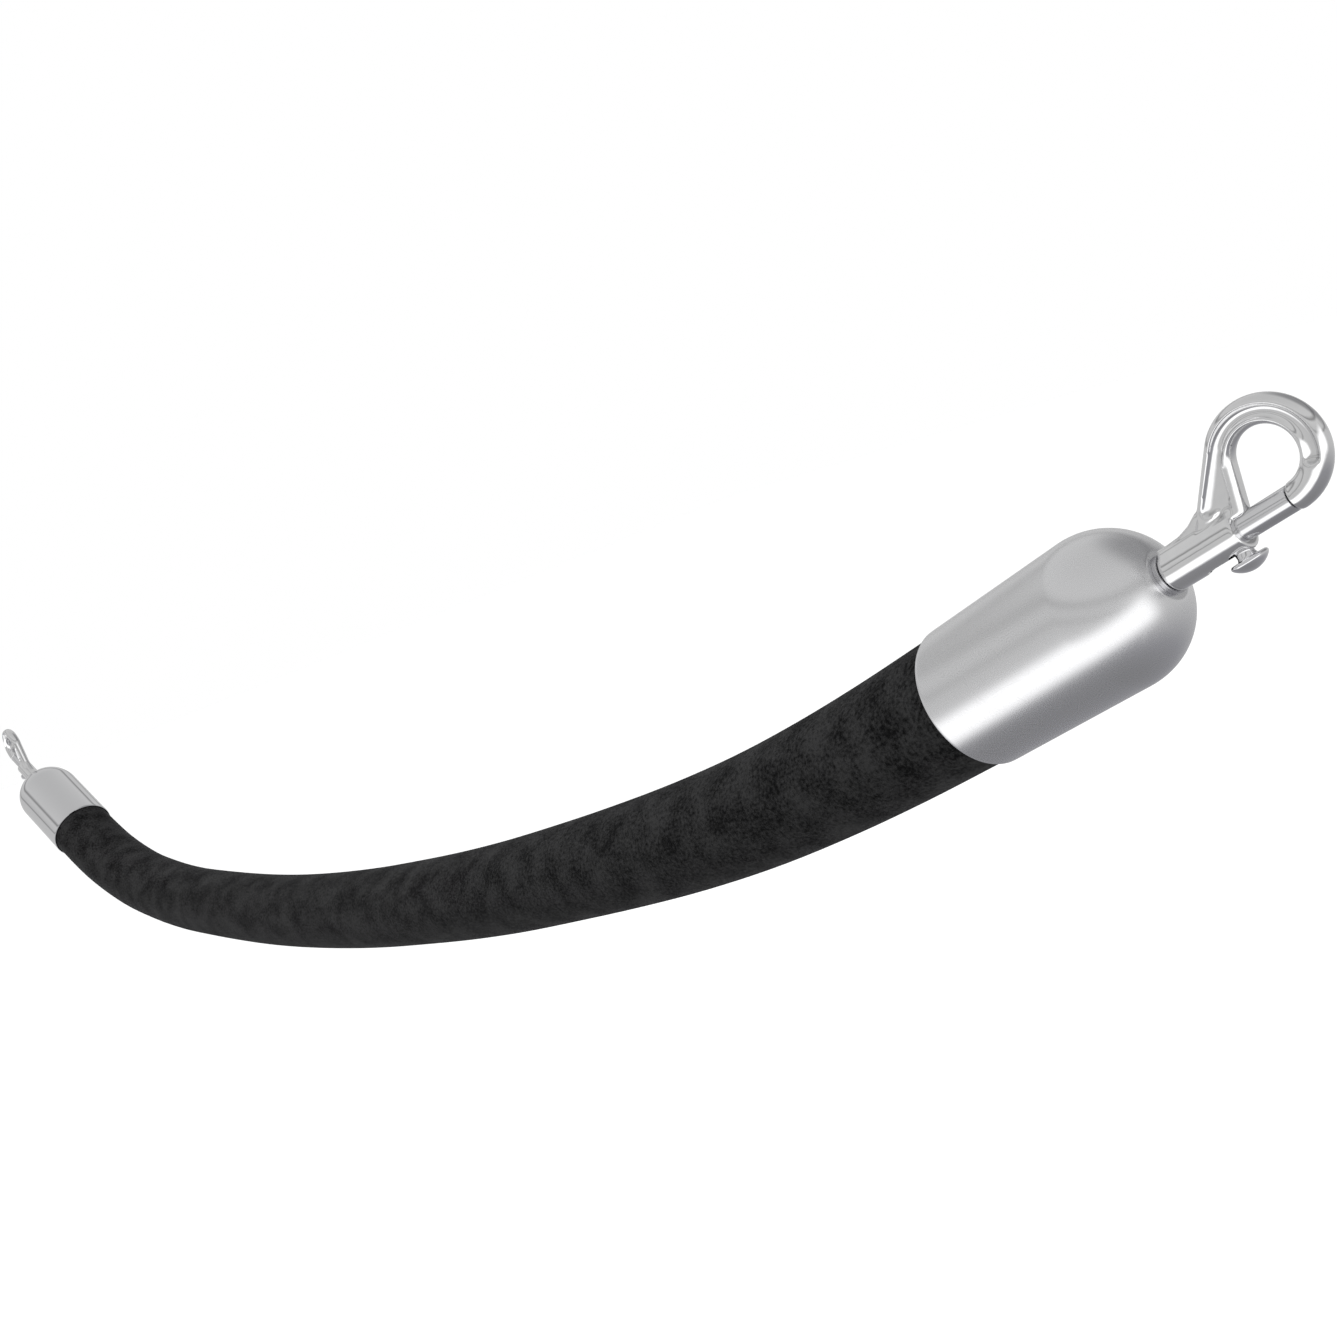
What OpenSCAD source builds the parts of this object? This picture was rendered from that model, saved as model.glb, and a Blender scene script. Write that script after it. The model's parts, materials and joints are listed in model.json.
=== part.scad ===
// Velvet barrier rope: a velvet-covered rope with a domed metal cap and a swivel snap hook at each end.
// It hangs in a shallow curve in the XZ plane, +Z up, with the far end towards -X and both eyes level.
// The origin is the centre of the near hook's eye.
// An end fitting is modelled along its own +X, from the mouth of its cap, with the hook's loop towards +Z.

/* [Rope] */
// Distance between the centres of the two eyes
eye_span = 939; // [900:1:980]
// Outside diameter of the velvet
velvet_d = 38.1; // [37:0.1:38.1]
// Thickness of the velvet with its backing
velvet_t = 1.75; // [1.2:0.05:2.2]
// Diameter of the hole through the foam core
core_hole_d = 16; // [16:0.5:20]
// Upward slope of the near cap
near_slope = 20; // [18:0.5:22]
// Upward slope of the far cap
far_slope = 36; // [34:0.5:38]

/* [Cap] */
// Outside diameter of the cap
cap_d = 40; // [40:0.5:44]
// Length of the cap's straight body, up to where the dome starts
cap_body = 47.5; // [46.5:0.5:52]
// Thickness of the cap's wall
cap_wall = 0.9; // [0.6:0.1:0.9]
// Diameter of the small flat on top of the dome
cap_flat_d = 13; // [12:0.5:14]
// How far the rope goes into the cap
rope_in_cap = 45.8; // [40:0.1:45.8]

/* [Hook] */
// Diameter of the barrel
barrel_d = 9.6; // [9.2:0.1:10.4]
// Length of the barrel
barrel_len = 20.3; // [20:0.1:21]
// Diameter of the gate bolt
bolt_d = 6; // [5.8:0.05:6]
// Radius of the loop, at the middle of its bar
loop_r = 10.1; // [9.8:0.1:10.4]
// Diameter of the loop's bar
bar_d = 6.6; // [6.2:0.1:6.8]
// Thickness of the recessed web between the arm and the eye
web_t = 2.4; // [1.6:0.1:3]

/* [Gate] */
// How far the bolt draws back
bolt_travel = 8; // [6:0.5:8]
// Diameter of the knob's head
knob_d = 8.8; // [8:0.2:9.4]
// Diameter of the knob's neck, which runs in the slot
neck_d = 4.2; // [3.8:0.1:4.4]
// Turns of the bolt spring
spring_turns = 5; // [4:1:6]

/* [Hidden] */
$fn = 96;

cap_r = cap_d / 2;
cap_flat_r = cap_flat_d / 2;
cap_len = cap_body + sqrt(cap_r * cap_r - cap_flat_r * cap_flat_r);
cap_inside_len = cap_len - 1;

stud_r = 2;
stud_hole_r = stud_r + 0.1;
fit = 0.05;
washer_t = 1;
washer_r = 5.4;
backing_r = 6.3;
nut_flats = 7;
nut_t = 3.2;
dowel_r = 7.5;
dowel_start = 6;
dowel_flange_r = 15;
dowel_flange_t = 10;
stud_end = 44;

// Along the hook, measured from the foot of its barrel
foot = cap_len + washer_t + 0.2;
rear_wall = 2;
head_t = 1.4;
head_r = 2.75;
bore_r = bolt_d / 2 + fit;
loop_x = 33.7;
nose_x = 33.3;
bolt_front = nose_x - 0.2;
bolt_back = 13.5;
pocket_r = 2.2;
pocket_depth = 1.6;
knob_x = 17.2;
neck_r = neck_d / 2;
neck_seat = 2.2;
head_top = 6;
knob_head_t = 2.9;
knob_dome_r = 5.6;
spigot_r = 1.5;
spigot_len = 3;
slot_r = neck_r + fit;
bar_r = bar_d / 2;
arm_angle = 135;
arm_len = 22.8;
arm_foot_r = 2.6;
rim = [[25.3, 13.4], [22.8, 7.6], [22.1, 3.4]];
rim_r = 1.9;
wire_r = 0.22;
coil_r = 1.85;

// The rope's middle line between its mouths, as [x, z], for the span it was laid out at
laid_span = 939;
sag = [[-830, -88], [-790, -103], [-750, -111], [-710, -116], [-670, -118.5], [-630, -120],
    [-590, -120.5], [-550, -120], [-510, -118.5], [-470, -116], [-430, -112.5], [-390, -108.5],
    [-350, -103.5], [-310, -97.5], [-270, -91], [-230, -83.5], [-190, -74.5], [-155, -65], [-123, -55]];
tube_sides = 12;

// The way each cap points, and the mouth that puts its hook's eye in its place
near_dir = [cos(near_slope), sin(near_slope)];
far_dir = [-cos(far_slope), sin(far_slope)];
eye_x = foot + loop_x;
near_mouth = -eye_x * near_dir - loop_r * [-sin(near_slope), cos(near_slope)];
far_mouth = [-eye_span, 0] - eye_x * far_dir - loop_r * [sin(far_slope), cos(far_slope)];

function unit(v) = v / norm(v);
// A point between b and c on the smooth curve through a, b, c and d
function between(a, b, c, d, t) =
    0.5 * (2 * b + (c - a) * t + (2 * a - 5 * b + 4 * c - d) * t * t + (3 * b - a - 3 * c + d) * t * t * t);

// Knots of the middle line, with one more at each end inside the cap
knots = concat([far_mouth + rope_in_cap * far_dir, far_mouth],
    [for (p = sag) [p[0] * eye_span / laid_span, p[1]]],
    [near_mouth, near_mouth + rope_in_cap * near_dir]);
last = len(knots) - 1;
line = concat([knots[0]],
    [for (i = [1 : last - 2]) each [knots[i],
        between(knots[i - 1], knots[i], knots[i + 1], knots[i + 2], 0.5)]],
    [knots[last - 1], knots[last]]);
line_end = len(line) - 1;
function run(i) =
    i <= 1 ? -far_dir :
    i >= line_end - 1 ? near_dir :
    unit(unit(line[i + 1] - line[i]) + unit(line[i] - line[i - 1]));

// Points of a circle across the middle line at point p, where the line runs along unit vector t
function ring(p, t, r, sides) =
    [for (i = [0 : sides - 1]) let (a = 360 * i / sides)
        [p[0] - t[1] * r * sin(a), r * cos(a), p[1] + t[0] * r * sin(a)]];

// A tube with a hole, swept along the middle line as one closed surface
module tube(outer_r, inner_r, sides) {
    rings = line_end + 1;
    outer = [for (i = [0 : line_end]) each ring(line[i], run(i), outer_r, sides)];
    inner = [for (i = [0 : line_end]) each ring(line[i], run(i), inner_r, sides)];
    shift = rings * sides;
    top = (rings - 1) * sides;
    skin = [for (i = [0 : rings - 2]) for (k = [0 : sides - 1]) let (n = (k + 1) % sides)
        [i * sides + k, i * sides + n, (i + 1) * sides + n, (i + 1) * sides + k]];
    lining = [for (f = skin) [for (k = [3 : -1 : 0]) f[k] + shift]];
    start = [for (k = [0 : sides - 1]) let (n = (k + 1) % sides) [n, k, k + shift, n + shift]];
    finish = [for (k = [0 : sides - 1]) let (n = (k + 1) % sides)
        [top + k, top + n, top + n + shift, top + k + shift]];
    polyhedron(points = concat(outer, inner), faces = concat(skin, lining, start, finish), convexity = 10);
}

module rope_core() {
    color("#d8d2c4") tube(velvet_d / 2 - velvet_t - 0.3, core_hole_d / 2, tube_sides);
}

module velvet_sleeve() {
    color("#1b1b1c") tube(velvet_d / 2, velvet_d / 2 - velvet_t, tube_sides);
}

// Puts an end fitting on its end of the rope
module at_end(side) {
    mouth = side == "near" ? near_mouth : far_mouth;
    turn = side == "near" ? [0, -near_slope, 0] : [0, -far_slope, 180];
    translate([mouth[0], 0, mouth[1]]) rotate(turn) children();
}

// A cylinder along +X that starts at x
module rod(x, r, h) {
    translate([x, 0, 0]) rotate([0, 90, 0]) cylinder(r = r, h = h);
}

module end_cap(side) {
    inside_r = cap_r - cap_wall;
    color("#c9ccd1") at_end(side) difference() {
        intersection() {
            union() {
                rod(0, cap_r, cap_body);
                translate([cap_body, 0, 0]) sphere(r = cap_r);
            }
            rod(0, cap_r + 1, cap_len);
        }
        intersection() {
            union() {
                rod(-1, inside_r, cap_body + 1);
                translate([cap_body, 0, 0]) sphere(r = inside_r);
            }
            rod(-1, cap_r, cap_inside_len + 1);
        }
        rod(cap_body, stud_hole_r, cap_r + 1);
    }
}

module flat_ring(x, r, hole_r, t) {
    difference() {
        rod(x, r, t);
        rod(x - 1, hole_r, t + 2);
    }
}

module swivel_washer(side) {
    color("#b9bdc3") at_end(side) flat_ring(cap_len, washer_r, stud_hole_r, washer_t);
}

module backing_washer(side) {
    color("#9aa0a6") at_end(side)
        flat_ring(cap_inside_len - washer_t, backing_r, stud_hole_r, washer_t);
}

module lock_nut(side) {
    nut_x = cap_inside_len - washer_t - nut_t;
    color("#8f959b") at_end(side) difference() {
        translate([nut_x, 0, 0]) rotate([0, 90, 0])
            cylinder(r = nut_flats / 2 / cos(30), h = nut_t, $fn = 6);
        rod(nut_x - 1, stud_r + fit, nut_t + 2);
    }
}

// Headed pin: the head turns inside the barrel, the shank holds the cap and the dowel
module swivel_stud(side) {
    head_x = foot + rear_wall + fit;
    color("#a7adb3") at_end(side) {
        rod(stud_end, stud_r, head_x - stud_end);
        rod(head_x, head_r, head_t);
    }
}

module anchor_dowel(side) {
    flange_x = rope_in_cap + 0.2;
    color("#c79a63") at_end(side) difference() {
        union() {
            rod(dowel_start, dowel_r, flange_x - dowel_start);
            rod(flange_x, dowel_flange_r, dowel_flange_t);
        }
        rod(stud_end - 2, stud_r + fit, flange_x + dowel_flange_t);
    }
}

// A tapered round bar in the plane of the loop, between two points given as [x, z]
module bar(from, to, r1, r2) {
    way = to - from;
    translate([from[0], 0, from[1]]) rotate([0, 90 - atan2(way[1], way[0]), 0])
        cylinder(r1 = r1, r2 = r2, h = norm(way));
}

// The casting: barrel with its bore and slot, arm, loop, nose, rim of the eye and recessed web
module snap_hook(side) {
    centre = [loop_x, loop_r];
    arm_top = centre + loop_r * [cos(arm_angle), sin(arm_angle)];
    arm_end = arm_top + arm_len * [cos(arm_angle + 90), sin(arm_angle + 90)];
    color("#c4c8cd") at_end(side) translate([foot, 0, 0]) difference() {
        union() {
            rod(0, barrel_d / 2, barrel_len);
            rod(nose_x, bar_r - 0.1, loop_x - nose_x + 0.1);
            translate([centre[0], 0, centre[1]]) rotate([90, 0, 0]) rotate([0, 0, -90])
                rotate_extrude(angle = 90 + arm_angle) translate([loop_r, 0]) circle(r = bar_r);
            bar(arm_top, arm_end, bar_r, arm_foot_r);
            bar(rim[0], rim[1], rim_r, rim_r);
            bar(rim[1], rim[2], rim_r, rim_r);
            translate([rim[1][0], 0, rim[1][1]]) sphere(r = rim_r);
            rotate([90, 0, 0]) linear_extrude(height = web_t, center = true)
                polygon([arm_top, arm_end, [rim[2][0] - 3, arm_end[1]], rim[2], rim[1], rim[0]]);
        }
        rod(rear_wall, bore_r, barrel_len);
        rod(-1, stud_r + fit, rear_wall + 2);
        for (x = [knob_x - bolt_travel, knob_x])
            translate([x, 0, -barrel_d]) cylinder(r = slot_r, h = barrel_d);
        translate([knob_x - bolt_travel, -slot_r, -barrel_d]) cube([bolt_travel, 2 * slot_r, barrel_d]);
    }
}

module gate_bolt(side) {
    color("#d2d5d9") at_end(side) translate([foot, 0, 0]) difference() {
        rod(bolt_back, bolt_d / 2, bolt_front - bolt_back);
        rod(bolt_back - 1, pocket_r, pocket_depth + 1);
        translate([knob_x, 0, -bolt_d]) cylinder(r = slot_r, h = bolt_d - neck_seat);
        translate([knob_x, 0, -bolt_d]) cylinder(r = spigot_r + fit, h = bolt_d + 1);
    }
}

module thumb_knob(side) {
    color("#d2d5d9") at_end(side) translate([foot + knob_x, 0, 0]) {
        translate([0, 0, -neck_seat]) cylinder(r = spigot_r, h = spigot_len);
        translate([0, 0, -head_top]) cylinder(r = neck_r, h = head_top - neck_seat);
        intersection() {
            translate([0, 0, -head_top - knob_head_t]) cylinder(r = knob_d / 2, h = knob_head_t);
            translate([0, 0, -head_top - knob_head_t + knob_dome_r]) sphere(r = knob_dome_r);
        }
    }
}

// Round wire wound round the barrel's axis, between the stud's head and the bolt's pocket
module bolt_spring(side) {
    steps = spring_turns * 12;
    sides = 6;
    from = rear_wall + head_t + 2 * wire_r + fit;
    to = bolt_back + pocket_depth - wire_r - fit;
    coil = [for (i = [0 : steps]) let (a = 360 * spring_turns * i / steps, x = from + (to - from) * i / steps)
        each [for (k = [0 : sides - 1]) let (b = 360 * k / sides, r = coil_r + wire_r * cos(b))
            [x + wire_r * sin(b), r * cos(a), r * sin(a)]]];
    walls = [for (i = [0 : steps - 1]) for (k = [0 : sides - 1]) let (n = (k + 1) % sides)
        [i * sides + k, (i + 1) * sides + k, (i + 1) * sides + n, i * sides + n]];
    start = [for (k = [0 : sides - 1]) k];
    finish = [for (k = [sides - 1 : -1 : 0]) steps * sides + k];
    color("#8a9097") at_end(side) translate([foot, 0, 0])
        polyhedron(points = coil, faces = concat(walls, [start], [finish]), convexity = 10);
}

rope_core();
velvet_sleeve();
for (side = ["near", "far"]) {
    end_cap(side);
    swivel_washer(side);
    swivel_stud(side);
    backing_washer(side);
    lock_nut(side);
    anchor_dowel(side);
    snap_hook(side);
    gate_bolt(side);
    thumb_knob(side);
    bolt_spring(side);
}
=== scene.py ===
import json
import math

import bpy
from mathutils import Matrix, Vector


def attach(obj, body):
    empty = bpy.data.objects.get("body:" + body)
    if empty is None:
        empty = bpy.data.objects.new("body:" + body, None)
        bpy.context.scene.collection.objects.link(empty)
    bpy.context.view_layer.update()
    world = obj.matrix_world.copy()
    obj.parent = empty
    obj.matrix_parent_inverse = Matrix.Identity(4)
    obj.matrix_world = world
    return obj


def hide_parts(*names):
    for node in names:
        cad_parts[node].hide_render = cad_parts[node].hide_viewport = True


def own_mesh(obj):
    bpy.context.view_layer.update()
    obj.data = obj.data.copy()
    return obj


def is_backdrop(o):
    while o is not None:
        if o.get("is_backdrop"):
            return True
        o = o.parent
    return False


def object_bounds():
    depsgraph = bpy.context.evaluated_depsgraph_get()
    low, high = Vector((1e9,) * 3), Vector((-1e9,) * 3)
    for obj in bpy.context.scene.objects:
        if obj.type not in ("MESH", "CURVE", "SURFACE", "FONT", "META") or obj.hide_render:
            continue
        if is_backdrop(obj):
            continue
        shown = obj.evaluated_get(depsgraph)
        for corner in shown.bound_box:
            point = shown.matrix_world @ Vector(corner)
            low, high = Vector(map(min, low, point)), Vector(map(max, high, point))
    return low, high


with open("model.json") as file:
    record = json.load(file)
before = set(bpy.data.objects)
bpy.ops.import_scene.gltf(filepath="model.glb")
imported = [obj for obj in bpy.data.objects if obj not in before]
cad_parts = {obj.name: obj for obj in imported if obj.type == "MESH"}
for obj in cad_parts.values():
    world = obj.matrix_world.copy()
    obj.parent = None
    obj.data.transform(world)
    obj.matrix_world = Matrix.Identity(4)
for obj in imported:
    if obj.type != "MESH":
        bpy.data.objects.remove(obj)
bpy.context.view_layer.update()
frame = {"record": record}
bpy.context.scene.view_settings.view_transform = "Standard"


# ---------------------------------------------------------------------------------------------
# Camera. It stands close to the near hook, a little above it, and looks along the rope.
# It leans to its right, so the far end of the rope comes out low and the near end high.
# ---------------------------------------------------------------------------------------------
camera_lens = bpy.data.cameras.new("camera")
camera_lens.lens = 37.37
camera_lens.sensor_width = 36.0
camera_lens.clip_start = 0.01
camera_lens.clip_end = 50.0
camera = bpy.data.objects.new("camera", camera_lens)
bpy.context.collection.objects.link(camera)
turn_left = Matrix.Rotation(math.radians(50.44), 4, "Z")
look_down = Matrix.Rotation(math.radians(90 - 8.40), 4, "X")
lean = Matrix.Rotation(math.radians(-19.58), 4, "Z")
camera.matrix_world = Matrix.Translation((0.1360, -0.2839, 0.0422)) @ turn_left @ look_down @ lean
bpy.context.scene.camera = camera


# ---------------------------------------------------------------------------------------------
# Velvet sleeve. Black cotton velvet, sewn into a tube along one seam and pulled over the core.
# It goes a little way into each cap, where it is glued, and hangs in the curve of the rope.
# ---------------------------------------------------------------------------------------------
sleeve_radius = 0.01905
sleeve_sides = 96
sleeve_step = 0.0016
sleeve_in_cap = 0.008
sleeve_slack = 0.00012
seam_angle = math.radians(40)
seam_depth = 0.00050
seam_width = 0.0006

# Each end's mouth and the way its cap points come from the swivel joint that stands there
joints = {joint["name"]: joint for joint in frame["record"]["behaviour"]["joints"]}
mouths = {side: Vector(joints[side + "_swivel"]["pos_m"]) for side in ("near", "far")}
cap_ways = {side: Vector(joints[side + "_swivel"]["axis"]) for side in ("near", "far")}

# The rope's middle line between the two mouths, in millimetres, as (x, z)
rope_line = [
    (-830, -88), (-790, -103), (-750, -111), (-710, -116), (-670, -118.5), (-630, -120),
    (-590, -120.5), (-550, -120), (-510, -118.5), (-470, -116), (-430, -112.5), (-390, -108.5),
    (-350, -103.5), (-310, -97.5), (-270, -91), (-230, -83.5), (-190, -74.5), (-155, -65), (-123, -55),
]


def smooth_line(knots, step):
    """Points a step apart, in metres, on the smooth curve through the knots."""
    ends = [knots[0] * 2 - knots[1]] + knots + [knots[-1] * 2 - knots[-2]]
    dense = []
    for i in range(1, len(ends) - 2):
        a, b, c, d = ends[i - 1], ends[i], ends[i + 1], ends[i + 2]
        for k in range(24):
            t = k / 24
            dense.append(0.5 * (2 * b + (c - a) * t + (2 * a - 5 * b + 4 * c - d) * t ** 2
                                + (3 * b - a - 3 * c + d) * t ** 3))
    dense.append(ends[-2])
    travelled = [0.0]
    for p, q in zip(dense, dense[1:]):
        travelled.append(travelled[-1] + (q - p).length)
    count = max(2, round(travelled[-1] / step))
    points, i = [], 0
    for k in range(count + 1):
        want = travelled[-1] * k / count
        while i < len(dense) - 2 and travelled[i + 1] < want:
            i += 1
        part = (want - travelled[i]) / max(1e-9, travelled[i + 1] - travelled[i])
        points.append(dense[i].lerp(dense[i + 1], min(1.0, max(0.0, part))))
    return points


knots = [mouths["far"] + cap_ways["far"] * sleeve_in_cap, mouths["far"]]
knots += [Vector((x / 1000, 0.0, z / 1000)) for x, z in rope_line]
knots += [mouths["near"], mouths["near"] + cap_ways["near"] * sleeve_in_cap]
sleeve_path = smooth_line(knots, sleeve_step)

# Round the seam, at the back of the rope, the cloth dips a little and its edges stand up beside it
across = Vector((0.0, 1.0, 0.0))
verts, uvs, faces = [], [], []
travelled = 0.0
for i, p in enumerate(sleeve_path):
    before = sleeve_path[max(0, i - 1)]
    after = sleeve_path[min(len(sleeve_path) - 1, i + 1)]
    along = (after - before).normalized()
    upward = along.cross(across) * -1
    if i:
        travelled += (p - before).length
    for k in range(sleeve_sides):
        angle = 2 * math.pi * k / sleeve_sides
        seam = (angle - seam_angle) * sleeve_radius
        dip = -seam_depth * math.exp(-(seam / seam_width) ** 2)
        dip += 0.00012 * math.exp(-((abs(seam) - 0.0018) / 0.0009) ** 2)
        sway = 0.00010 * math.sin(travelled * 41 + 2.0 * math.sin(angle))
        sway *= math.cos(2 * angle + travelled * 9)
        r = sleeve_radius - sleeve_slack + dip + sway
        verts.append(p + across * (r * math.cos(angle)) + upward * (r * math.sin(angle)))
        uvs.append((travelled, angle * sleeve_radius))
rings = len(sleeve_path)
for i in range(rings - 1):
    for k in range(sleeve_sides):
        n = (k + 1) % sleeve_sides
        faces.append((i * sleeve_sides + k, (i + 1) * sleeve_sides + k,
                      (i + 1) * sleeve_sides + n, i * sleeve_sides + n))
faces.append(tuple(range(sleeve_sides)))
faces.append(tuple((rings - 1) * sleeve_sides + k for k in reversed(range(sleeve_sides))))
sleeve_mesh = bpy.data.meshes.new("velvet_cover")
sleeve_mesh.from_pydata(verts, [], faces)
cloth_uv = sleeve_mesh.uv_layers.new(name="cloth")
for polygon in sleeve_mesh.polygons:
    wraps = any(v % sleeve_sides == 0 for v in polygon.vertices) and any(
        v % sleeve_sides == sleeve_sides - 1 for v in polygon.vertices)
    for corner, v in zip(polygon.loop_indices, polygon.vertices):
        u, w = uvs[v]
        if wraps and v % sleeve_sides == 0:
            w += 2 * math.pi * sleeve_radius
        cloth_uv.data[corner].uv = (u, w)
    polygon.use_smooth = True
sleeve = bpy.data.objects.new("velvet_cover", sleeve_mesh)
bpy.context.collection.objects.link(sleeve)


def velvet(name):
    """Deep black velvet: a short nap that leans about in patches and catches light at a glancing angle; the
    patches are also painted lighter and darker into the base colour, a painted sheen.
    """
    material = bpy.data.materials.new(name)
    material.use_nodes = True
    nodes = material.node_tree.nodes
    links = material.node_tree.links
    nodes.clear()

    output = nodes.new("ShaderNodeOutputMaterial")
    output.label = "Velvet surface"
    output.location = (900, 0)
    cloth = nodes.new("ShaderNodeBsdfPrincipled")
    cloth.label = "Cotton pile"
    cloth.location = (600, 0)
    place = nodes.new("ShaderNodeUVMap")
    place.label = "Place on the cloth, in metres"
    place.location = (-1000, 0)

    nap_frame = nodes.new("NodeFrame")
    nap_frame.label = "Patches where the nap leans differently"
    nap = nodes.new("ShaderNodeTexNoise")
    nap.label = "Finger-wide strokes in the nap"
    nap.location = (-700, 250)
    nap.parent = nap_frame
    mottle = nodes.new("ShaderNodeTexNoise")
    mottle.label = "Small mottling of the pile"
    mottle.location = (-700, 0)
    mottle.parent = nap_frame
    both = nodes.new("ShaderNodeMix")
    both.label = "Strokes and mottling together"
    both.location = (-450, 150)
    both.parent = nap_frame
    # Painted sheen: this ramp turns the nap patches into lighter and darker base colour, as where the pile
    # catches light
    painted_nap_sheen = nodes.new("ShaderNodeValToRGB")
    painted_nap_sheen.label = "From pile seen end on to pile seen from the side"
    painted_nap_sheen.location = (-200, 200)
    painted_nap_sheen.parent = nap_frame

    pile_frame = nodes.new("NodeFrame")
    pile_frame.label = "Fibres of the pile"
    fibre = nodes.new("ShaderNodeTexNoise")
    fibre.label = "Tufts of fibre"
    fibre.location = (-700, -300)
    fibre.parent = pile_frame
    lean_bump = nodes.new("ShaderNodeBump")
    lean_bump.label = "Lean of the nap"
    lean_bump.location = (-200, -150)
    lean_bump.parent = pile_frame
    tuft_bump = nodes.new("ShaderNodeBump")
    tuft_bump.label = "Relief of the tufts"
    tuft_bump.location = (100, -300)
    tuft_bump.parent = pile_frame

    place.uv_map = "cloth"
    nap.inputs["Scale"].default_value = 75.0
    nap.inputs["Detail"].default_value = 4.0
    nap.inputs["Roughness"].default_value = 0.6
    mottle.inputs["Scale"].default_value = 760.0
    mottle.inputs["Detail"].default_value = 5.0
    mottle.inputs["Roughness"].default_value = 0.75
    both.data_type = "FLOAT"
    both.inputs[0].default_value = 0.62
    # The lighter end of the ramp is painted sheen on the nap; the real sheen is the small even Sheen Weight
    # set below
    painted_nap_sheen.color_ramp.elements[0].position = 0.42
    painted_nap_sheen.color_ramp.elements[0].color = (0.0012, 0.0012, 0.0013, 1)
    painted_nap_sheen.color_ramp.elements[1].position = 0.58
    painted_nap_sheen.color_ramp.elements[1].color = (0.0135, 0.0135, 0.0137, 1)
    fibre.inputs["Scale"].default_value = 1900.0
    fibre.inputs["Detail"].default_value = 2.0
    lean_bump.inputs["Strength"].default_value = 0.15
    lean_bump.inputs["Distance"].default_value = 0.0004
    tuft_bump.inputs["Strength"].default_value = 0.5
    tuft_bump.inputs["Distance"].default_value = 0.0003
    cloth.inputs["Roughness"].default_value = 0.95
    cloth.inputs["Specular IOR Level"].default_value = 0.06
    cloth.inputs["Sheen Weight"].default_value = 0.025
    cloth.inputs["Sheen Roughness"].default_value = 0.35
    cloth.inputs["Sheen Tint"].default_value = (0.80, 0.80, 0.84, 1)

    links.new(place.outputs["UV"], nap.inputs["Vector"])
    links.new(place.outputs["UV"], mottle.inputs["Vector"])
    links.new(place.outputs["UV"], fibre.inputs["Vector"])
    links.new(nap.outputs["Fac"], both.inputs[2])
    links.new(mottle.outputs["Fac"], both.inputs[3])
    links.new(both.outputs[0], painted_nap_sheen.inputs["Fac"])
    links.new(painted_nap_sheen.outputs["Color"], cloth.inputs["Base Color"])
    links.new(both.outputs[0], lean_bump.inputs["Height"])
    links.new(fibre.outputs["Fac"], tuft_bump.inputs["Height"])
    links.new(lean_bump.outputs["Normal"], tuft_bump.inputs["Normal"])
    links.new(tuft_bump.outputs["Normal"], cloth.inputs["Normal"])
    links.new(cloth.outputs["BSDF"], output.inputs["Surface"])
    return material


sleeve.data.materials.append(velvet("black_velvet"))
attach(sleeve, "rope")
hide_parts("velvet_sleeve")


# ---------------------------------------------------------------------------------------------
# Foam core. A firm foam tube fills the velvet from one cap to the other and keeps it round.
# It goes deeper into the caps than the sleeve does, and its ends are glued onto the dowels.
# ---------------------------------------------------------------------------------------------
core_radius = 0.0170
core_hole = 0.0080
core_sides = 48
core_step = 0.006
core_in_cap = 0.0458
core_ends = [mouths[side] + cap_ways[side] * core_in_cap for side in ("far", "near")]
core_path = smooth_line(core_ends[:1] + knots[1:-1] + core_ends[1:], core_step)
verts, faces = [], []
for radius in (core_radius, core_hole):
    for i, p in enumerate(core_path):
        along = (core_path[min(len(core_path) - 1, i + 1)] - core_path[max(0, i - 1)]).normalized()
        upward = along.cross(across) * -1
        for k in range(core_sides):
            angle = 2 * math.pi * k / core_sides
            verts.append(p + across * (radius * math.cos(angle)) + upward * (radius * math.sin(angle)))
rings = len(core_path)
inner = rings * core_sides
for k in range(core_sides):
    n = (k + 1) % core_sides
    for i in range(rings - 1):
        a, b = i * core_sides, (i + 1) * core_sides
        faces.append((a + k, b + k, b + n, a + n))
        faces.append((inner + a + k, inner + a + n, inner + b + n, inner + b + k))
    last = (rings - 1) * core_sides
    faces.append((k, n, inner + n, inner + k))
    faces.append((last + n, last + k, inner + last + k, inner + last + n))
core_mesh = bpy.data.meshes.new("foam_tube")
core_mesh.from_pydata(verts, [], faces)
core = bpy.data.objects.new("foam_tube", core_mesh)
bpy.context.collection.objects.link(core)


def pick(piece):
    """Selects one piece alone and makes it the active one."""
    bpy.ops.object.select_all(action="DESELECT")
    piece.select_set(True)
    bpy.context.view_layer.objects.active = piece


pick(core)
bpy.ops.object.shade_smooth_by_angle(angle=math.radians(40))


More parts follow.
